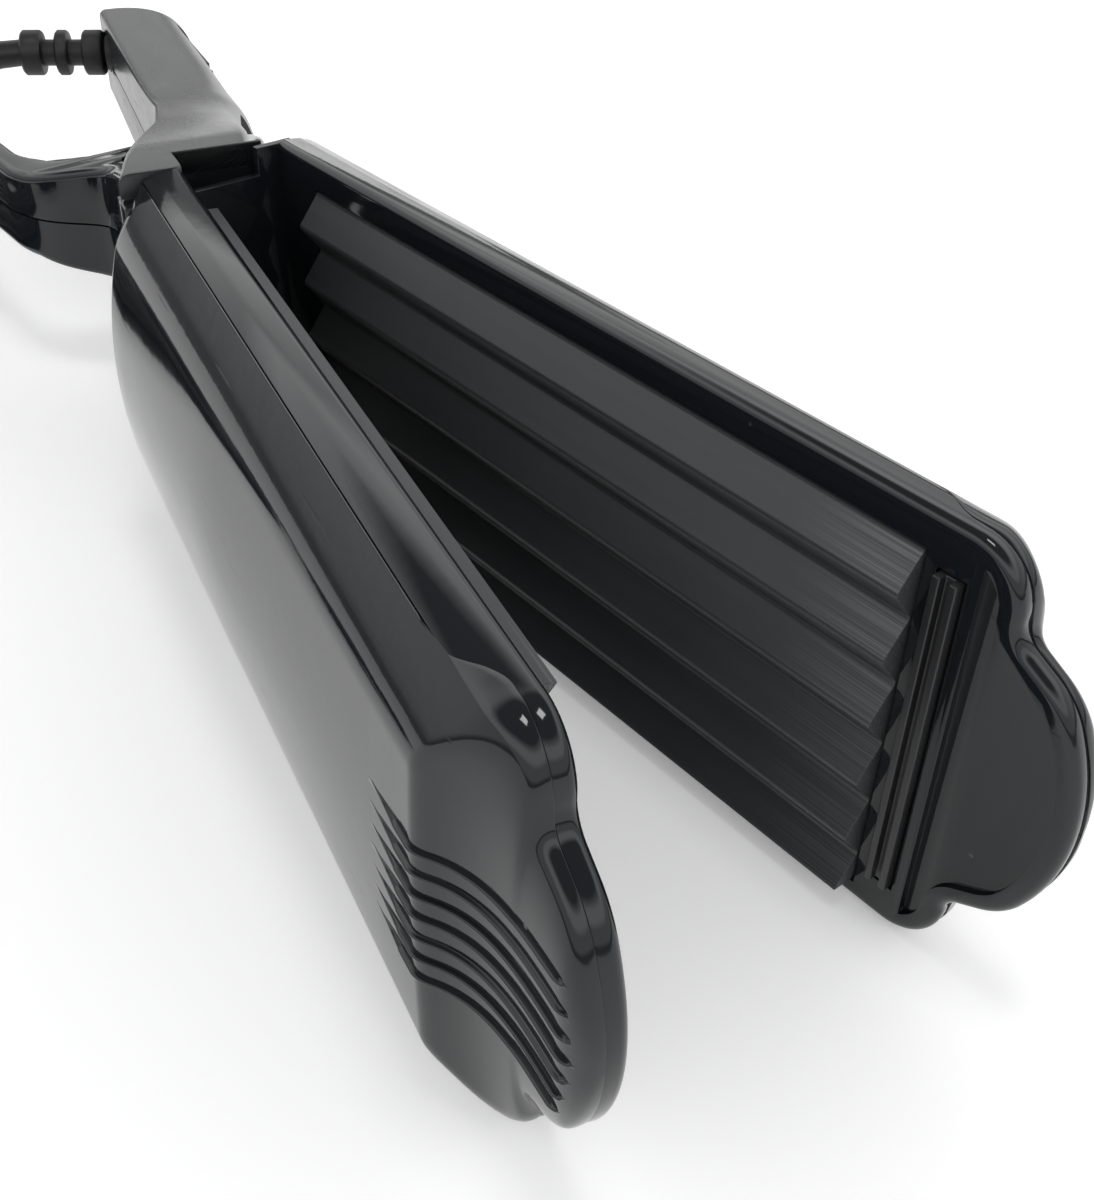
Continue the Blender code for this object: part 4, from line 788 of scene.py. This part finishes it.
def barrierStrip(letter, face, away, body, finish):
    part = {"start": 0.1539, "width": 0.0028, "half": 0.0200, "foot": 0.0012, "bar": 0.0009, "proud": 0.0010}
    place = jawPlace(face, away)
    inner = part["width"] - part["bar"]
    foot, proud = part["foot"], -part["proud"]
    profile = [(0.0, foot), (0.0, proud), (part["bar"], proud), (part["bar"], 0.0)]
    profile += [(inner, 0.0), (inner, proud), (part["width"], proud), (part["width"], foot)]
    ends = (-part["half"], part["half"])
    bm = wrap([[place(part["start"] + x, depth, z) for x, depth in profile] for z in ends])
    bm = carved(bm, [], 0.00018, 3, 30.0)
    node = f"barrier_strip_{letter}"
    return keep(f"barrier_bars_{letter}", bm, body, finish, (node,), 30.0)


sides = (
    ("a", jaw["faceA"], -1, jaw["rootA"], 0.0030, True, "handle_and_jaw",
     shellOnHandle, plateOnHandle, satinOnHandle),
    ("b", jaw["faceB"], 1, jaw["backB"], 0.0028, False, "lever_and_jaw",
     shellOnLever, plateOnLever, satinOnLever),
)
for letter, face, away, root, crest, crestFirst, body, shellFinish, plateFinish, stripFinish in sides:
    jawShell(letter, face, away, root, body, shellFinish)
    jawFrame(letter, face, away, root, body, shellFinish)
    ridgedPlate(letter, face, away, crest, crestFirst, body, plateFinish)
    barrierStrip(letter, face, away, body, stripFinish)
    print("jaw", letter, "made")


handle = {
    "end": -0.0840, "half": 0.0082, "gripHalf": 0.0108, "flareStart": -0.0180, "flareEnd": 0.0380,
    "innerEnd": 0.0042, "innerRoot": 0.0, "thickness": 0.0168, "endRound": 0.0060, "topRound": 0.0075,
    "edge": 0.0014, "ear": 0.0032, "earLeft": 0.0180, "earCornerY": -0.0076, "pocketBack": -0.0138,
    "wallX": 0.0410, "earCut": 0.0402, "pocketStep": 0.0032, "pocketHalf": 0.09,
}
earFront = jaw["rootA"] - jaw["gap"]
earRadius = jaw["rootB"] - 0.0004


earRim = earRadius - handle["edge"]
earLeft = handle["earLeft"]
gripY = handle["innerRoot"] + handle["thickness"]

# (x, y) of the handle's two sides, seen from above
handleInner = (
    (handle["end"], handle["innerEnd"]), (handle["flareStart"], handle["innerRoot"]), (0.0, -earLeft * 0.22),
    (handle["flareEnd"] * 0.58, -earLeft * 0.59), (handle["wallX"], -earLeft * 0.92), (earFront, -earLeft),
)
handleOuter = (
    (handle["end"], handle["innerEnd"] + handle["thickness"] * 0.98), (handle["flareStart"], gripY),
    (0.0, gripY * 0.7), (handle["flareEnd"] * 0.8, gripY * 0.2), (earRim, -gripY * 0.04),
    (earRadius - handle["edge"] / 2, handle["earCornerY"]), (earFront, jaw["faceA"]),
)

cordFacts = {"radius": 0.0025, "reliefX": -0.0787, "reliefAngle": math.radians(20), "reliefLength": 0.0270,
             "coilX": -0.0500, "coilY": -0.0840, "coilRadius": 0.0300, "turns": 9.3, "loopPoints": 24,
             "step": 0.0056, "layer": 0.0056, "lead": 0.0040, "points": 30, "tail": 0.0360, "sway": 0.0070}


def reliefLine():
    x = cordFacts["reliefX"]
    start = Vector((x, between(handleInner, x), middleZ))
    return start, Vector((-math.sin(cordFacts["reliefAngle"]), -math.cos(cordFacts["reliefAngle"]), 0.0))


def coilPoints():
    turnsDown = cordFacts["turns"] / 2
    count = round(cordFacts["turns"] * cordFacts["loopPoints"])
    climb = cordFacts["loopPoints"] / 2
    turning = count / 2
    points = []
    for i in range(count + 1):
        angle = math.pi + math.tau * i / cordFacts["loopPoints"]
        spread = abs(i - turning) / turning
        radius = cordFacts["coilRadius"] + cordFacts["step"] * turnsDown * (spread - 0.5)
        layer = smoothStep(turning - climb / 2, turning + climb / 2, i)
        z = cordFacts["radius"] + cordFacts["layer"] * layer
        points.append(Vector((cordFacts["coilX"] + radius * math.cos(angle),
                              cordFacts["coilY"] + radius * math.sin(angle), z)))
    into = (points[0] - points[1]).normalized() * cordFacts["radius"] * 2
    out = (points[-1] - points[-2]).normalized() * cordFacts["radius"] * 2
    into.z = 0.0
    out.z = 0.0
    return [points[0] + into] + points + [points[-1] + out]


def cordRoute(start, leaving, end, arriving):
    first = start + leaving * cordFacts["lead"]
    last = end - arriving * cordFacts["lead"]
    pull = (last - first).length / 2
    curve = []
    steps = cordFacts["points"] * 4
    for i in range(steps + 1):
        t = i / steps
        point = first * (1 - t) ** 3 + (first + leaving * pull) * 3 * t * (1 - t) ** 2
        point += (last - arriving * pull) * 3 * t * t * (1 - t) + last * t**3
        point.z = start.z + (end.z - start.z) * smoothStep(0.0, 1.0, t)
        curve.append(point)
    curve = [start] + curve + [end]
    lengths = [0.0]
    for a, b in zip(curve, curve[1:]):
        lengths.append(lengths[-1] + (b - a).length)
    points = [start]
    at = 1
    for i in range(1, cordFacts["points"]):
        target = lengths[-1] * i / cordFacts["points"]
        while lengths[at] < target:
            at += 1
        part = (target - lengths[at - 1]) / (lengths[at] - lengths[at - 1])
        points.append(curve[at - 1].lerp(curve[at], part))
    return points + [end]


def makeCord():
    start, direction = reliefLine()
    exitPoint = start + direction * cordFacts["reliefLength"]
    coil = coilPoints()
    heading = (coil[1] - coil[0]).normalized()
    gap = jaw["gap"]
    route = cordRoute(exitPoint + direction * gap, direction, coil[0] - heading * gap, heading)
    heading = (coil[-1] - coil[-2]).normalized()
    side = Vector((-heading.y, heading.x, 0.0))
    tail = []
    for i in range(9):
        share = i / 8
        along = gap + cordFacts["tail"] * share
        tail.append(coil[-1] + heading * along + side * cordFacts["sway"] * smoothStep(0.2, 1.0, share))
    route = [onHandle @ point for point in route + coil + tail]
    curve = bpy.data.curves.new("cord_run", "CURVE")
    curve.dimensions = "3D"
    curve.bevel_depth = cordFacts["radius"]
    curve.bevel_resolution = 5
    curve.use_fill_caps = True
    spline = curve.splines.new("POLY")
    spline.points.add(len(route) - 1)
    for slot, point in zip(spline.points, route):
        slot.co = (*point, 1.0)
    spline.use_smooth = True
    curve.materials.append(rubber)
    piece = bpy.data.objects.new("cord_run", curve)
    bpy.context.scene.collection.objects.link(piece)
    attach(piece, "handle_and_jaw")
    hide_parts("cord", "cord_coil", "cord_tail")
    length = sum((b - a).length for a, b in zip(route, route[1:]))
    print("cord length", round(length, 3), "m")
    return piece, route, length, tail[-1], heading


cordPiece, cordPath, cordLength, plugStart, plugHeading = makeCord()


relief = {"core": 0.0025, "ring": 0.0043, "neck": 0.0034, "sunk": 0.0062, "lift": 0.0016, "level": 0.018,
          "hole": 0.0037, "rings": ((0.0002, 0.0046), (0.0070, 0.0031), (0.0121, 0.0047))}


def strainRelief():
    # three broad rings on a sleeve that starts a little above the handle's middle and levels out to the cord
    core, ring, end = relief["core"], relief["ring"], cordFacts["reliefLength"]
    start, direction = reliefLine()
    profile = [(-relief["sunk"], 0.0), (-relief["sunk"], relief["neck"]), (0.0, relief["neck"])]
    for begin, width in relief["rings"]:
        close = begin + width
        profile += [(begin + 0.0003, core), (begin + 0.0005, ring - 0.0003), (begin + 0.0009, ring),
                    (close - 0.0007, ring), (close - 0.0003, ring - 0.0004), (close, core)]
    profile += [(0.0212, core + 0.0001), (0.0235, 0.0029), (end, cordFacts["radius"] + 0.0003), (end, 0.0)]
    bm = spun(profile, start, direction, 48)
    for vert in bm.verts:
        vert.co.z += relief["lift"] * (1 - smoothStep(relief["level"], end, (vert.co - start).dot(direction)))
    keep("cord_guard", bm, "handle_and_jaw", rubber, ("strain_relief",), 40.0)


def plug(start, direction):
    part = {"neck": 0.0120, "length": 0.0340, "radius": 0.0085, "flange": 0.0030, "pin": 0.0190,
            "pinRadius": 0.0020, "pinEnd": 0.0016, "spacing": 0.0190, "widen": 1.45, "lowest": 0.00005}
    start = start + direction * jaw["gap"]
    side = Vector((0.0, 0.0, 1.0)).cross(direction)
    up = Vector((0.0, 0.0, 1.0))
    neck, end = part["neck"], part["neck"] + part["length"]
    profile = [(0.0, 0.0028), (0.0015, 0.0036), (0.0033, 0.0036), (0.0038, 0.0030), (0.0048, 0.0030),
               (0.0053, 0.0037), (0.0071, 0.0037), (0.0076, 0.0031), (0.0086, 0.0031), (neck * 0.78, 0.0039),
               (neck, 0.0058)]
    for i in range(1, 9):
        t = i / 8
        profile.append((neck + (part["length"] - part["flange"]) * t,
                        part["radius"] * (0.70 + 0.22 * math.sin(math.pi * min(t * 1.15, 1.0)) + 0.10 * t)))
    flange, wide = part["flange"], part["radius"]
    profile += [(end - flange * 0.8, wide * 0.97), (end - flange * 0.6, wide), (end - 0.0004, wide)]
    profile += [(end, wide * 0.95)]
    rings = []
    for along, radius in profile:
        ring = []
        widen = part["widen"] if along > 0 else 1.0
        for k in range(40):
            angle = math.tau * k / 40
            across = math.copysign(abs(math.cos(angle)) ** 0.75, math.cos(angle)) * radius * widen
            tall = math.copysign(abs(math.sin(angle)) ** 0.85, math.sin(angle)) * radius
            point = start + direction * along + side * across + up * tall
            point.z = max(point.z, part["lowest"])
            ring.append(point)
        rings.append(ring)
    body = keep("plug_moulding", wrap(rings), "handle_and_jaw", rubber, ("plug_body",), 38.0)
    pieces = [body]
    for number, sign in enumerate((-1, 1), 1):
        foot = start + direction * (end + jaw["gap"]) + side * sign * part["spacing"] / 2
        r, pinEnd = part["pinRadius"], part["pinEnd"]
        thin, bend = r * 0.93, part["pin"] - pinEnd
        shape = [(0.0, 0.0), (0.0, r), (0.0098, r), (0.0100, thin), (bend, thin)]
        shape += [(bend + pinEnd * math.sin(a), thin * math.cos(a) + 0.0002) for a in (0.4, 0.8, 1.2)]
        shape += [(part["pin"], 0.0)]
        pin = spun(shape, foot, direction, 32)
        node = f"plug_pin_{number}"
        pieces.append(keep(f"plug_contact_{number}", pin, "handle_and_jaw", steel, (node,), 40.0))
    return pieces


strainRelief()
plugPieces = plug(plugStart, plugHeading)
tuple(cordPath[0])
print("cord and plug made")


def handleHeight(x):
    grip = between(((handle["end"], handle["half"]), (handle["flareStart"], handle["gripHalf"])), x)
    share = min(max((x - handle["flareStart"]) / (handle["flareEnd"] - handle["flareStart"]), 0.0), 1.0)
    rise = share * 0.8 + smoothStep(handle["flareStart"], handle["flareEnd"], x) * 0.2
    return grip + (jaw["halfHeight"] - handle["gripHalf"]) * rise


def easedHeight(x):
    blur = 0.0060 + 0.0140 * (1 - smoothStep(-0.0100, 0.0300, x))
    return sum(handleHeight(x + blur * k / 6) for k in range(-6, 7)) / 13


def handleRing(x, base):
    blur = min(0.0025, max(0.0, (earRim - x) * 0.6))
    inner = flowing(handleInner, x, blur)
    outer = flowing(handleOuter, x, blur)
    high = easedHeight(x)
    blend = 1 - smoothStep(handle["flareStart"], handle["flareEnd"], x)
    edge = handle["edge"]
    wide = min(edge + (handle["topRound"] - edge) * blend, (outer - inner) * 0.6)
    tall = min(edge + (high - edge) * blend * 0.9, high * 0.95)
    if x < handle["end"] + handle["endRound"]:
        outer -= shortfall(x, handle["end"], handle["endRound"])
    ring = [(inner, base), (inner, base + (high - edge) * 0.5), (inner, high - edge)]
    ring += risingCorner(inner, high, edge) + [(inner + edge, high)]
    for i in range(19):
        angle = math.pi / 2 * i / 18
        ring.append((outer - wide * (1 - math.sin(angle)), high - tall * (1 - math.cos(angle))))
    ring.append((outer, base))
    return ring


def handleStations():
    stations = [handle["end"] + handle["endRound"] * (1 - math.cos(math.pi / 2 * i / 8)) for i in range(9)]
    stations[0] = handle["end"] + handle["endRound"] * 0.003
    x = stations[-1]
    while x < handle["wallX"] - 0.0016:
        x += 0.0016
        stations.append(x)
    stations = [x for x in stations if x < earRim - 0.0008]
    rounded = [earRim + handle["edge"] * share for share in (0.0, 0.25, 0.5)]
    return stations + [earRim - 0.0004] + rounded + [earFront]


def pillar(sign, centre, radius, low, high):
    bm = bmesh.new()
    bmesh.ops.create_cone(bm, cap_ends=True, segments=32, radius1=radius, radius2=radius, depth=high - low)
    bmesh.ops.translate(bm, vec=(centre[0], centre[1], middleZ + sign * (low + high) / 2), verts=bm.verts)
    return bm


def halfBlock(sign, low, high):
    a, b = middleZ + sign * low[2], middleZ + sign * high[2]
    return block((low[0], low[1], min(a, b)), (high[0], high[1], max(a, b)))


switch = {"x": -0.0640, "length": 0.0170, "half": 0.0042, "flange": 0.0010, "flangeThick": 0.0012,
          "deep": 0.0075, "wall": 0.0014, "flatMargin": 0.0012, "flatDepth": 0.0022, "flatHalf": 0.016,
          "proud": 0.0020, "tilt": math.radians(7)}
switchFace = between(handleOuter, switch["x"]) - switch["flatDepth"]
lens = {"x": -0.0475, "radius": 0.0022, "length": 0.0040, "dome": 0.00048}
screwHead = {"radius": 0.0027, "tall": 0.0018, "shank": 0.0013, "sink": 0.0012, "reach": 0.0045}
handleScrewXs = (-0.0500, -0.0180)


def screwY(x):
    return (between(handleInner, x) + between(handleOuter, x)) / 2


def handleHalf(name, node, sign):
    gap = jaw["gap"]
    rings = [[Vector((x, y, middleZ + sign * z)) for y, z in handleRing(x, gap / 2)] for x in handleStations()]
    reach = switch["length"] / 2 + switch["flange"] + switch["flatMargin"]
    cutters = [halfBlock(sign, (switch["x"] - reach, switchFace, -over),
                         (switch["x"] + reach, switchFace + over * 2, switch["flatHalf"]))]
    start, direction = reliefLine()
    sleeve = [(0.0, relief["hole"]), (0.012, relief["hole"])]
    hole = spun(sleeve, start - direction * 0.008, direction, 32)
    bmesh.ops.translate(hole, vec=(0.0, 0.0, relief["lift"]), verts=hole.verts)
    cutters.append(hole)
    pocket = []
    x = handle["pocketBack"]
    half = handle["pocketHalf"]
    while x < earFront + over:
        high = easedHeight(min(x, earFront)) - handle["ear"]
        corners = ((-half, -over), (-half, high), (half, high), (half, -over))
        pocket.append([Vector((x, y, middleZ + sign * z)) for y, z in corners])
        x += handle["pocketStep"]
    cutters.append(wrap(pocket))
    cutters.append(halfBlock(sign, (handle["earCut"], jaw["faceA"], -over), (0.0600, 0.0300, 0.0300)))
    hub = handleHeight(0.0) - handle["ear"]
    cutters.append(pillar(sign, (0.0, 0.0), hinge["earHole"], hub - over, hub + hinge["pinSeat"]))
    reach = switch["length"] / 2 + gap
    cutters.append(halfBlock(sign, (switch["x"] - reach, switchFace - switch["deep"] - gap, -over),
                             (switch["x"] + reach, switchFace + over, switch["half"] + gap)))
    lensY = between(handleOuter, lens["x"])
    lensHole = [(0.0, lens["radius"] + gap), (0.016, lens["radius"] + gap)]
    cutters.append(spun(lensHole, (lens["x"], lensY - 0.006, middleZ), (0, 1, 0), 32))
    if sign < 0:
        for x in handleScrewXs:
            top = handleHeight(x)
            floor = top - screwHead["sink"] - screwHead["tall"] - gap * 2
            cutters.append(pillar(sign, (x, screwY(x)), screwHead["radius"] + gap, floor, top + over))
    bm = carved(wrap(rings), cutters, 0.00016, 2, 40.0)
    return keep(name, bm, "handle_and_jaw", handleSheenFinish, (node,), 34.0)


handleHalf("handle_top", "handle_shell_upper", 1)
handleHalf("handle_bottom", "handle_shell_lower", -1)


def rootTab():
    # the tab behind jaw A's root, between the two ears
    part = {"back": 0.0029, "front": 0.0018, "far": 0.0083, "near": 0.0058, "low": 0.0036, "high": 0.0472}
    solid = block((jaw["rootA"] - part["back"], jaw["faceA"] - part["far"], part["low"]),
                  (jaw["rootA"] + part["front"], jaw["faceA"] - part["near"], part["high"]))
    keep("jaw_root_tab", carved(solid, [], 0.0003), "handle_and_jaw", shellOnHandle)


def rootCollar():
    # the wall that closes the gap beside jaw B's root
    part = {"back": 0.0405, "front": 0.0416, "left": -0.0096, "farLeft": -0.0202, "right": -0.0040,
            "high": 0.0251, "underEar": 0.0214}
    tall, low = [block((part["back"], left, middleZ - high), (part["front"], part["right"], middleZ + high))
                 for left, high in ((part["left"], part["high"]), (part["farLeft"], part["underEar"]))]
    solid = carved(tall, [], 0.0004, 3, 40.0, [low])
    keep("jaw_root_collar", solid, "lever_and_jaw", shellOnLever)


def earLip():
    # thin wall hanging from the upper ear's front edge
    part = {"back": 0.0397, "front": 0.0402, "right": 0.0024, "low": 0.0180, "high": 0.0252}
    solid = block((part["back"], jaw["faceA"], middleZ + part["low"]),
                  (part["front"], part["right"], middleZ + part["high"]))
    keep("ear_lip", carved(solid, [], 0.00015), "handle_and_jaw", shellOnHandle)


rootTab()
rootCollar()
earLip()
print("handle made")


# Finger lever and the block between the ears
lever = {"end": -0.0760, "outer": -0.0230, "thick": 0.0048, "half": 0.0070, "curl": 0.0050, "round": 0.0016,
         "hub": 0.0130, "wallX": 0.0410, "wallStep": 0.0002, "blockLeft": 0.0200, "blockSide": 0.0215,
         "slope": 0.0060, "chamber": 0.0096, "screwX": 0.0280, "screwY": -0.0080, "endRound": 0.0035,
         "underEar": 0.0004, "springLeg": ((0.0, -0.0014, -0.004), (0.0130, 0.0014, 0.0028)),
         "legTurns": (0.0, 0.35, 0.7, 1.0), "frontCut": ((-0.0300, -0.0040), (0.0600, 0.0300, 0.0300)),
         "hubMeets": 0.0117, "cheek": ((0.0117, 0.0057), (0.0200, 0.0000), (0.0303, -0.0044), (0.0309, 0.0002),
                                       (0.0316, 0.0019), (0.0325, 0.0028), (0.0346, 0.0036), (0.0377, 0.0037),
                                       (0.0410, 0.0034), (0.0456, 0.0028)),
         "recess": ((0.0300, -0.0135, 0.0005), (0.0500, 0.0027, 0.0300)),
         "sideRecess": ((0.0321, -0.0225, 0.0150), (0.0500, -0.0130, 0.0300))}


def bentEnd(side):
    # the free end's (x, y) points for one side of the lever, which curls away towards its end
    end, curl = lever["end"], lever["curl"]
    return ((end, side - curl), (end * 0.86, side - curl * 0.25), (end * 0.6, side + curl * 0.1))


def leverOuter(x):
    hub, outer = lever["hub"], lever["outer"]
    table = bentEnd(outer) + (
        (-hub * 1.2, outer), (-hub * 0.73, outer * 0.91), (-hub * 0.4, outer * 0.74),
        (-hub * 0.2, -hub * 1.05), (0.0, -hub), (lever["wallX"] * 0.87, -lever["blockSide"]),
        (lever["wallX"], -lever["blockLeft"]), (lever["wallX"] + lever["wallStep"], jaw["faceB"]),
        (jaw["rootB"], jaw["faceB"]))
    if x > lever["wallX"] - 0.0005:
        return between(table, x)
    return flowing(table, x, min(0.0020, lever["wallX"] - x))


def leverInner(x):
    hub = lever["hub"]
    thin = lever["outer"] + lever["thick"]
    if -hub < x < lever["hubMeets"]:
        return math.sqrt(hub**2 - x * x)
    table = bentEnd(thin) + ((-hub * 1.6, thin), (-hub * 1.2, thin + lever["thick"] * 0.6),
                             (-hub, thin + lever["thick"] * 2), (0.0, hub)) + lever["cheek"]
    return flowing(table, x, 0.0020) if x < -hub * 1.25 else between(table, x)


def blockHeight(x):
    underEar = handleHeight(x - lever["slope"]) - handle["ear"] - lever["underEar"]
    rise = smoothStep(-lever["hub"] * 1.4, -lever["hub"], x)
    return lever["half"] + (max(underEar, lever["half"]) - lever["half"]) * rise


def leverRing(x, base):
    outer, inner, high = leverOuter(x), leverInner(x), blockHeight(x)
    edge = lever["round"]
    if x < lever["end"] + lever["endRound"]:
        high -= shortfall(x, lever["end"], lever["endRound"])
    ring = [(outer, base), (outer, (base + high - edge) / 2), (outer, high - edge)]
    ring += risingCorner(outer, high, edge)
    ring += [(outer + edge, high), ((outer + inner) / 2, high), (inner - edge, high)]
    for i in range(1, 6):
        angle = math.pi / 2 * i / 6
        ring.append((inner - edge * (1 - math.sin(angle)), high - edge * (1 - math.cos(angle))))
    return ring + [(inner, high - edge), (inner, (base + high - edge) / 2), (inner, base)]


def leverStations():
    stations = [lever["end"] + lever["endRound"] * (1 - math.cos(math.pi / 2 * i / 6)) for i in range(7)]
    stations[0] = lever["end"] + 0.00002
    x = stations[-1]
    while x < -lever["hub"] - 0.0012:
        x += 0.0015
        stations.append(x)
    stations = [x for x in stations if x < -lever["hub"] - 0.0004] + [-lever["hub"]]
    stations += [-lever["hub"] * math.cos(math.pi / 2 * i / 14) for i in range(1, 15)]
    stations += [lever["wallX"] * i / 24 for i in range(1, 25)]
    stations += [0.0303, 0.0309, 0.0312, 0.0316, 0.0320, 0.0325, 0.0330, 0.0337]
    return sorted(stations) + [lever["wallX"] + lever["wallStep"], jaw["rootB"] - jaw["gap"]]


def leverHalf(name, node, sign):
    gap = jaw["gap"]
    rings = [[Vector((x, y, middleZ + sign * z)) for y, z in leverRing(x, gap / 2)] for x in leverStations()]
    top = blockHeight(0.0) + over
    cutters = [pillar(sign, (0.0, 0.0), hinge["leverHole"], -over, top),
               halfBlock(sign, (jaw["backB"] - gap, *lever["frontCut"][0]), lever["frontCut"][1])]
    if sign > 0:
        cutters.append(pillar(sign, (0.0, 0.0), lever["chamber"], -over, top))
        for share in lever["legTurns"]:
            slot = halfBlock(sign, *lever["springLeg"])
            swing = Matrix.Rotation(-hinge["open"] * share, 3, "Z")
            bmesh.ops.rotate(slot, cent=(0, 0, 0), matrix=swing, verts=slot.verts)
            cutters.append(slot)
        cutters.append(halfBlock(sign, *lever["recess"]))
        cutters.append(halfBlock(sign, *lever["sideRecess"]))
    else:
        top = blockHeight(lever["screwX"]) + over
        centre = (lever["screwX"], lever["screwY"])
        cutters.append(pillar(sign, centre, screwHead["radius"] + gap, screwHead["reach"] * 2, top))
    bm = carved(wrap(rings), cutters, 0.00016, 2, 40.0)
    return keep(name, bm, "lever_and_jaw", shellOnLever, (node,), 34.0)


leverHalf("lever_top", "lever_shell_upper", 1)
leverHalf("lever_bottom", "lever_shell_lower", -1)
print("lever made")


def screw(name, node, centre, headAt, body):
    # cross recess in a domed head that faces down, with a threaded shank above it
    r, tall, shank = screwHead["radius"], screwHead["tall"], screwHead["shank"]
    length = middleZ + screwHead["reach"] - headAt
    profile = [(0.0, 0.0), (0.0, r * 0.62), (tall * 0.12, r * 0.84), (tall * 0.3, r * 0.97), (tall * 0.42, r),
               (tall * 0.95, r), (tall, r * 0.97), (tall * 1.01, shank)]
    along = tall + 0.0012
    while along < length - 0.0010:
        profile += [(along, shank * 0.84), (along + 0.00045, shank)]
        along += 0.0009
    profile += [(length, shank * 0.5), (length, 0.0)]
    solid = spun(profile, (centre[0], centre[1], headAt), (0, 0, 1), 32)
    wide, thick, deep = r * 0.58, 0.00036, tall * 0.62
    x, y = centre
    slots = [block((x - a, y - b, headAt - 0.001), (x + a, y + b, headAt + deep))
             for a, b in ((wide, thick), (thick, wide))]
    return keep(name, carved(solid, slots), body, steel, (node,), 34.0)


for number, x in enumerate(handleScrewXs, 1):
    headAt = middleZ - handleHeight(x) + screwHead["sink"] + jaw["gap"]
    screw(f"grip_screw_{number}", f"handle_screw_{number}", (x, screwY(x)), headAt, "handle_and_jaw")
headAt = middleZ - screwHead["reach"] * 2 - screwHead["tall"] - jaw["gap"]
screw("block_screw", "lever_screw", (lever["screwX"], lever["screwY"]), headAt, "lever_and_jaw")


def switchFrame():
    x, half, gap = switch["x"], switch["half"], jaw["gap"]
    long = switch["length"] / 2
    body = block((x - long, switchFace - switch["deep"], middleZ - half),
                 (x + long, switchFace + gap * 2, middleZ + half))
    wide = switch["flange"]
    flange = block((x - long - wide, switchFace + gap, middleZ - half - wide),
                   (x + long + wide, switchFace + switch["flangeThick"], middleZ + half + wide))
    wall = switch["wall"]
    well = block((x - long + wall, switchFace - switch["deep"] + wall, middleZ - half + wall),
                 (x + long - wall, switchFace + 0.004, middleZ + half - wall))
    bm = carved(body, [well], 0.00022, 3, 30.0, [flange])
    keep("switch_bezel", bm, "handle_and_jaw", satinOnHandle, ("switch_frame",), 30.0)


def switchRocker():
    # two-lobed rocker, pressed in at one end, with raised finger lines at both
    long = switch["length"] / 2 - switch["wall"] - 0.0008
    deep = -switch["deep"] / 2
    proud = switch["proud"]
    top = []
    for i in range(25):
        u = i / 24 * 2 - 1
        top.append((long * u, proud * (0.60 + 0.40 * abs(u) ** 1.7) if abs(u) < 0.97 else proud * 0.90))
    profile = [(-long, deep / 3)] + top + [(long, deep / 3), (long / 3, deep), (-long / 3, deep)]
    reach = switch["half"] - switch["wall"] - 0.0004
    turn = Matrix.Translation((switch["x"], switchFace, middleZ)) @ Matrix.Rotation(switch["tilt"], 4, "Z")
    rings = [[Vector((x, y, z)) for x, y in profile] for z in (-reach, reach)]
    lines = []
    for sign in (-1, 1):
        for k in range(3):
            at = sign * (long - 0.0010 - k * 0.0009)
            y = proud * (0.60 + 0.40 * (abs(at) / long) ** 1.7)
            end = reach * 0.72
            lines.append(block((at - 0.0002, y - 0.0004, -end), (at + 0.0002, y + 0.00016, end)))
    bm = carved(wrap(rings), [], 0.0002, 3, 30.0, lines)
    bmesh.ops.transform(bm, matrix=turn, verts=bm.verts)
    keep("switch_button", bm, "switch_rocker_body", satinOnHandle, ("switch_rocker",), 30.0)


def lampLensPiece():
    # domed window over the lamp
    y = between(handleOuter, lens["x"])
    r, length, dome = lens["radius"], lens["length"], lens["dome"]
    profile = [(0.0, 0.0), (0.0, r), (length - 0.0002, r), (length, r * 0.96)]
    profile += [(length + dome * math.sin(a), r * 0.94 * math.cos(a)) for a in (0.35, 0.7, 1.05, 1.35)]
    profile += [(length + dome, 0.0)]
    bm = spun(profile, (lens["x"], y - length, middleZ), (0, 1, 0), 32)
    keep("lamp_window", bm, "handle_and_jaw", lampLens, ("indicator_lens",), 40.0)


switchFrame()
switchRocker()
lampLensPiece()
print("switch, lamp and screws made")


# Inner pieces that keep their own shape
for node, material in (
    ("pivot_pin", steel), ("opening_spring", steel), ("heater_clamp_a", steel), ("heater_clamp_b", steel),
    ("heating_element_a", ceramic), ("heating_element_b", ceramic), ("control_board", boardMask),
):
    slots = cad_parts[node].data.materials
    slots.clear()
    slots.append(material)
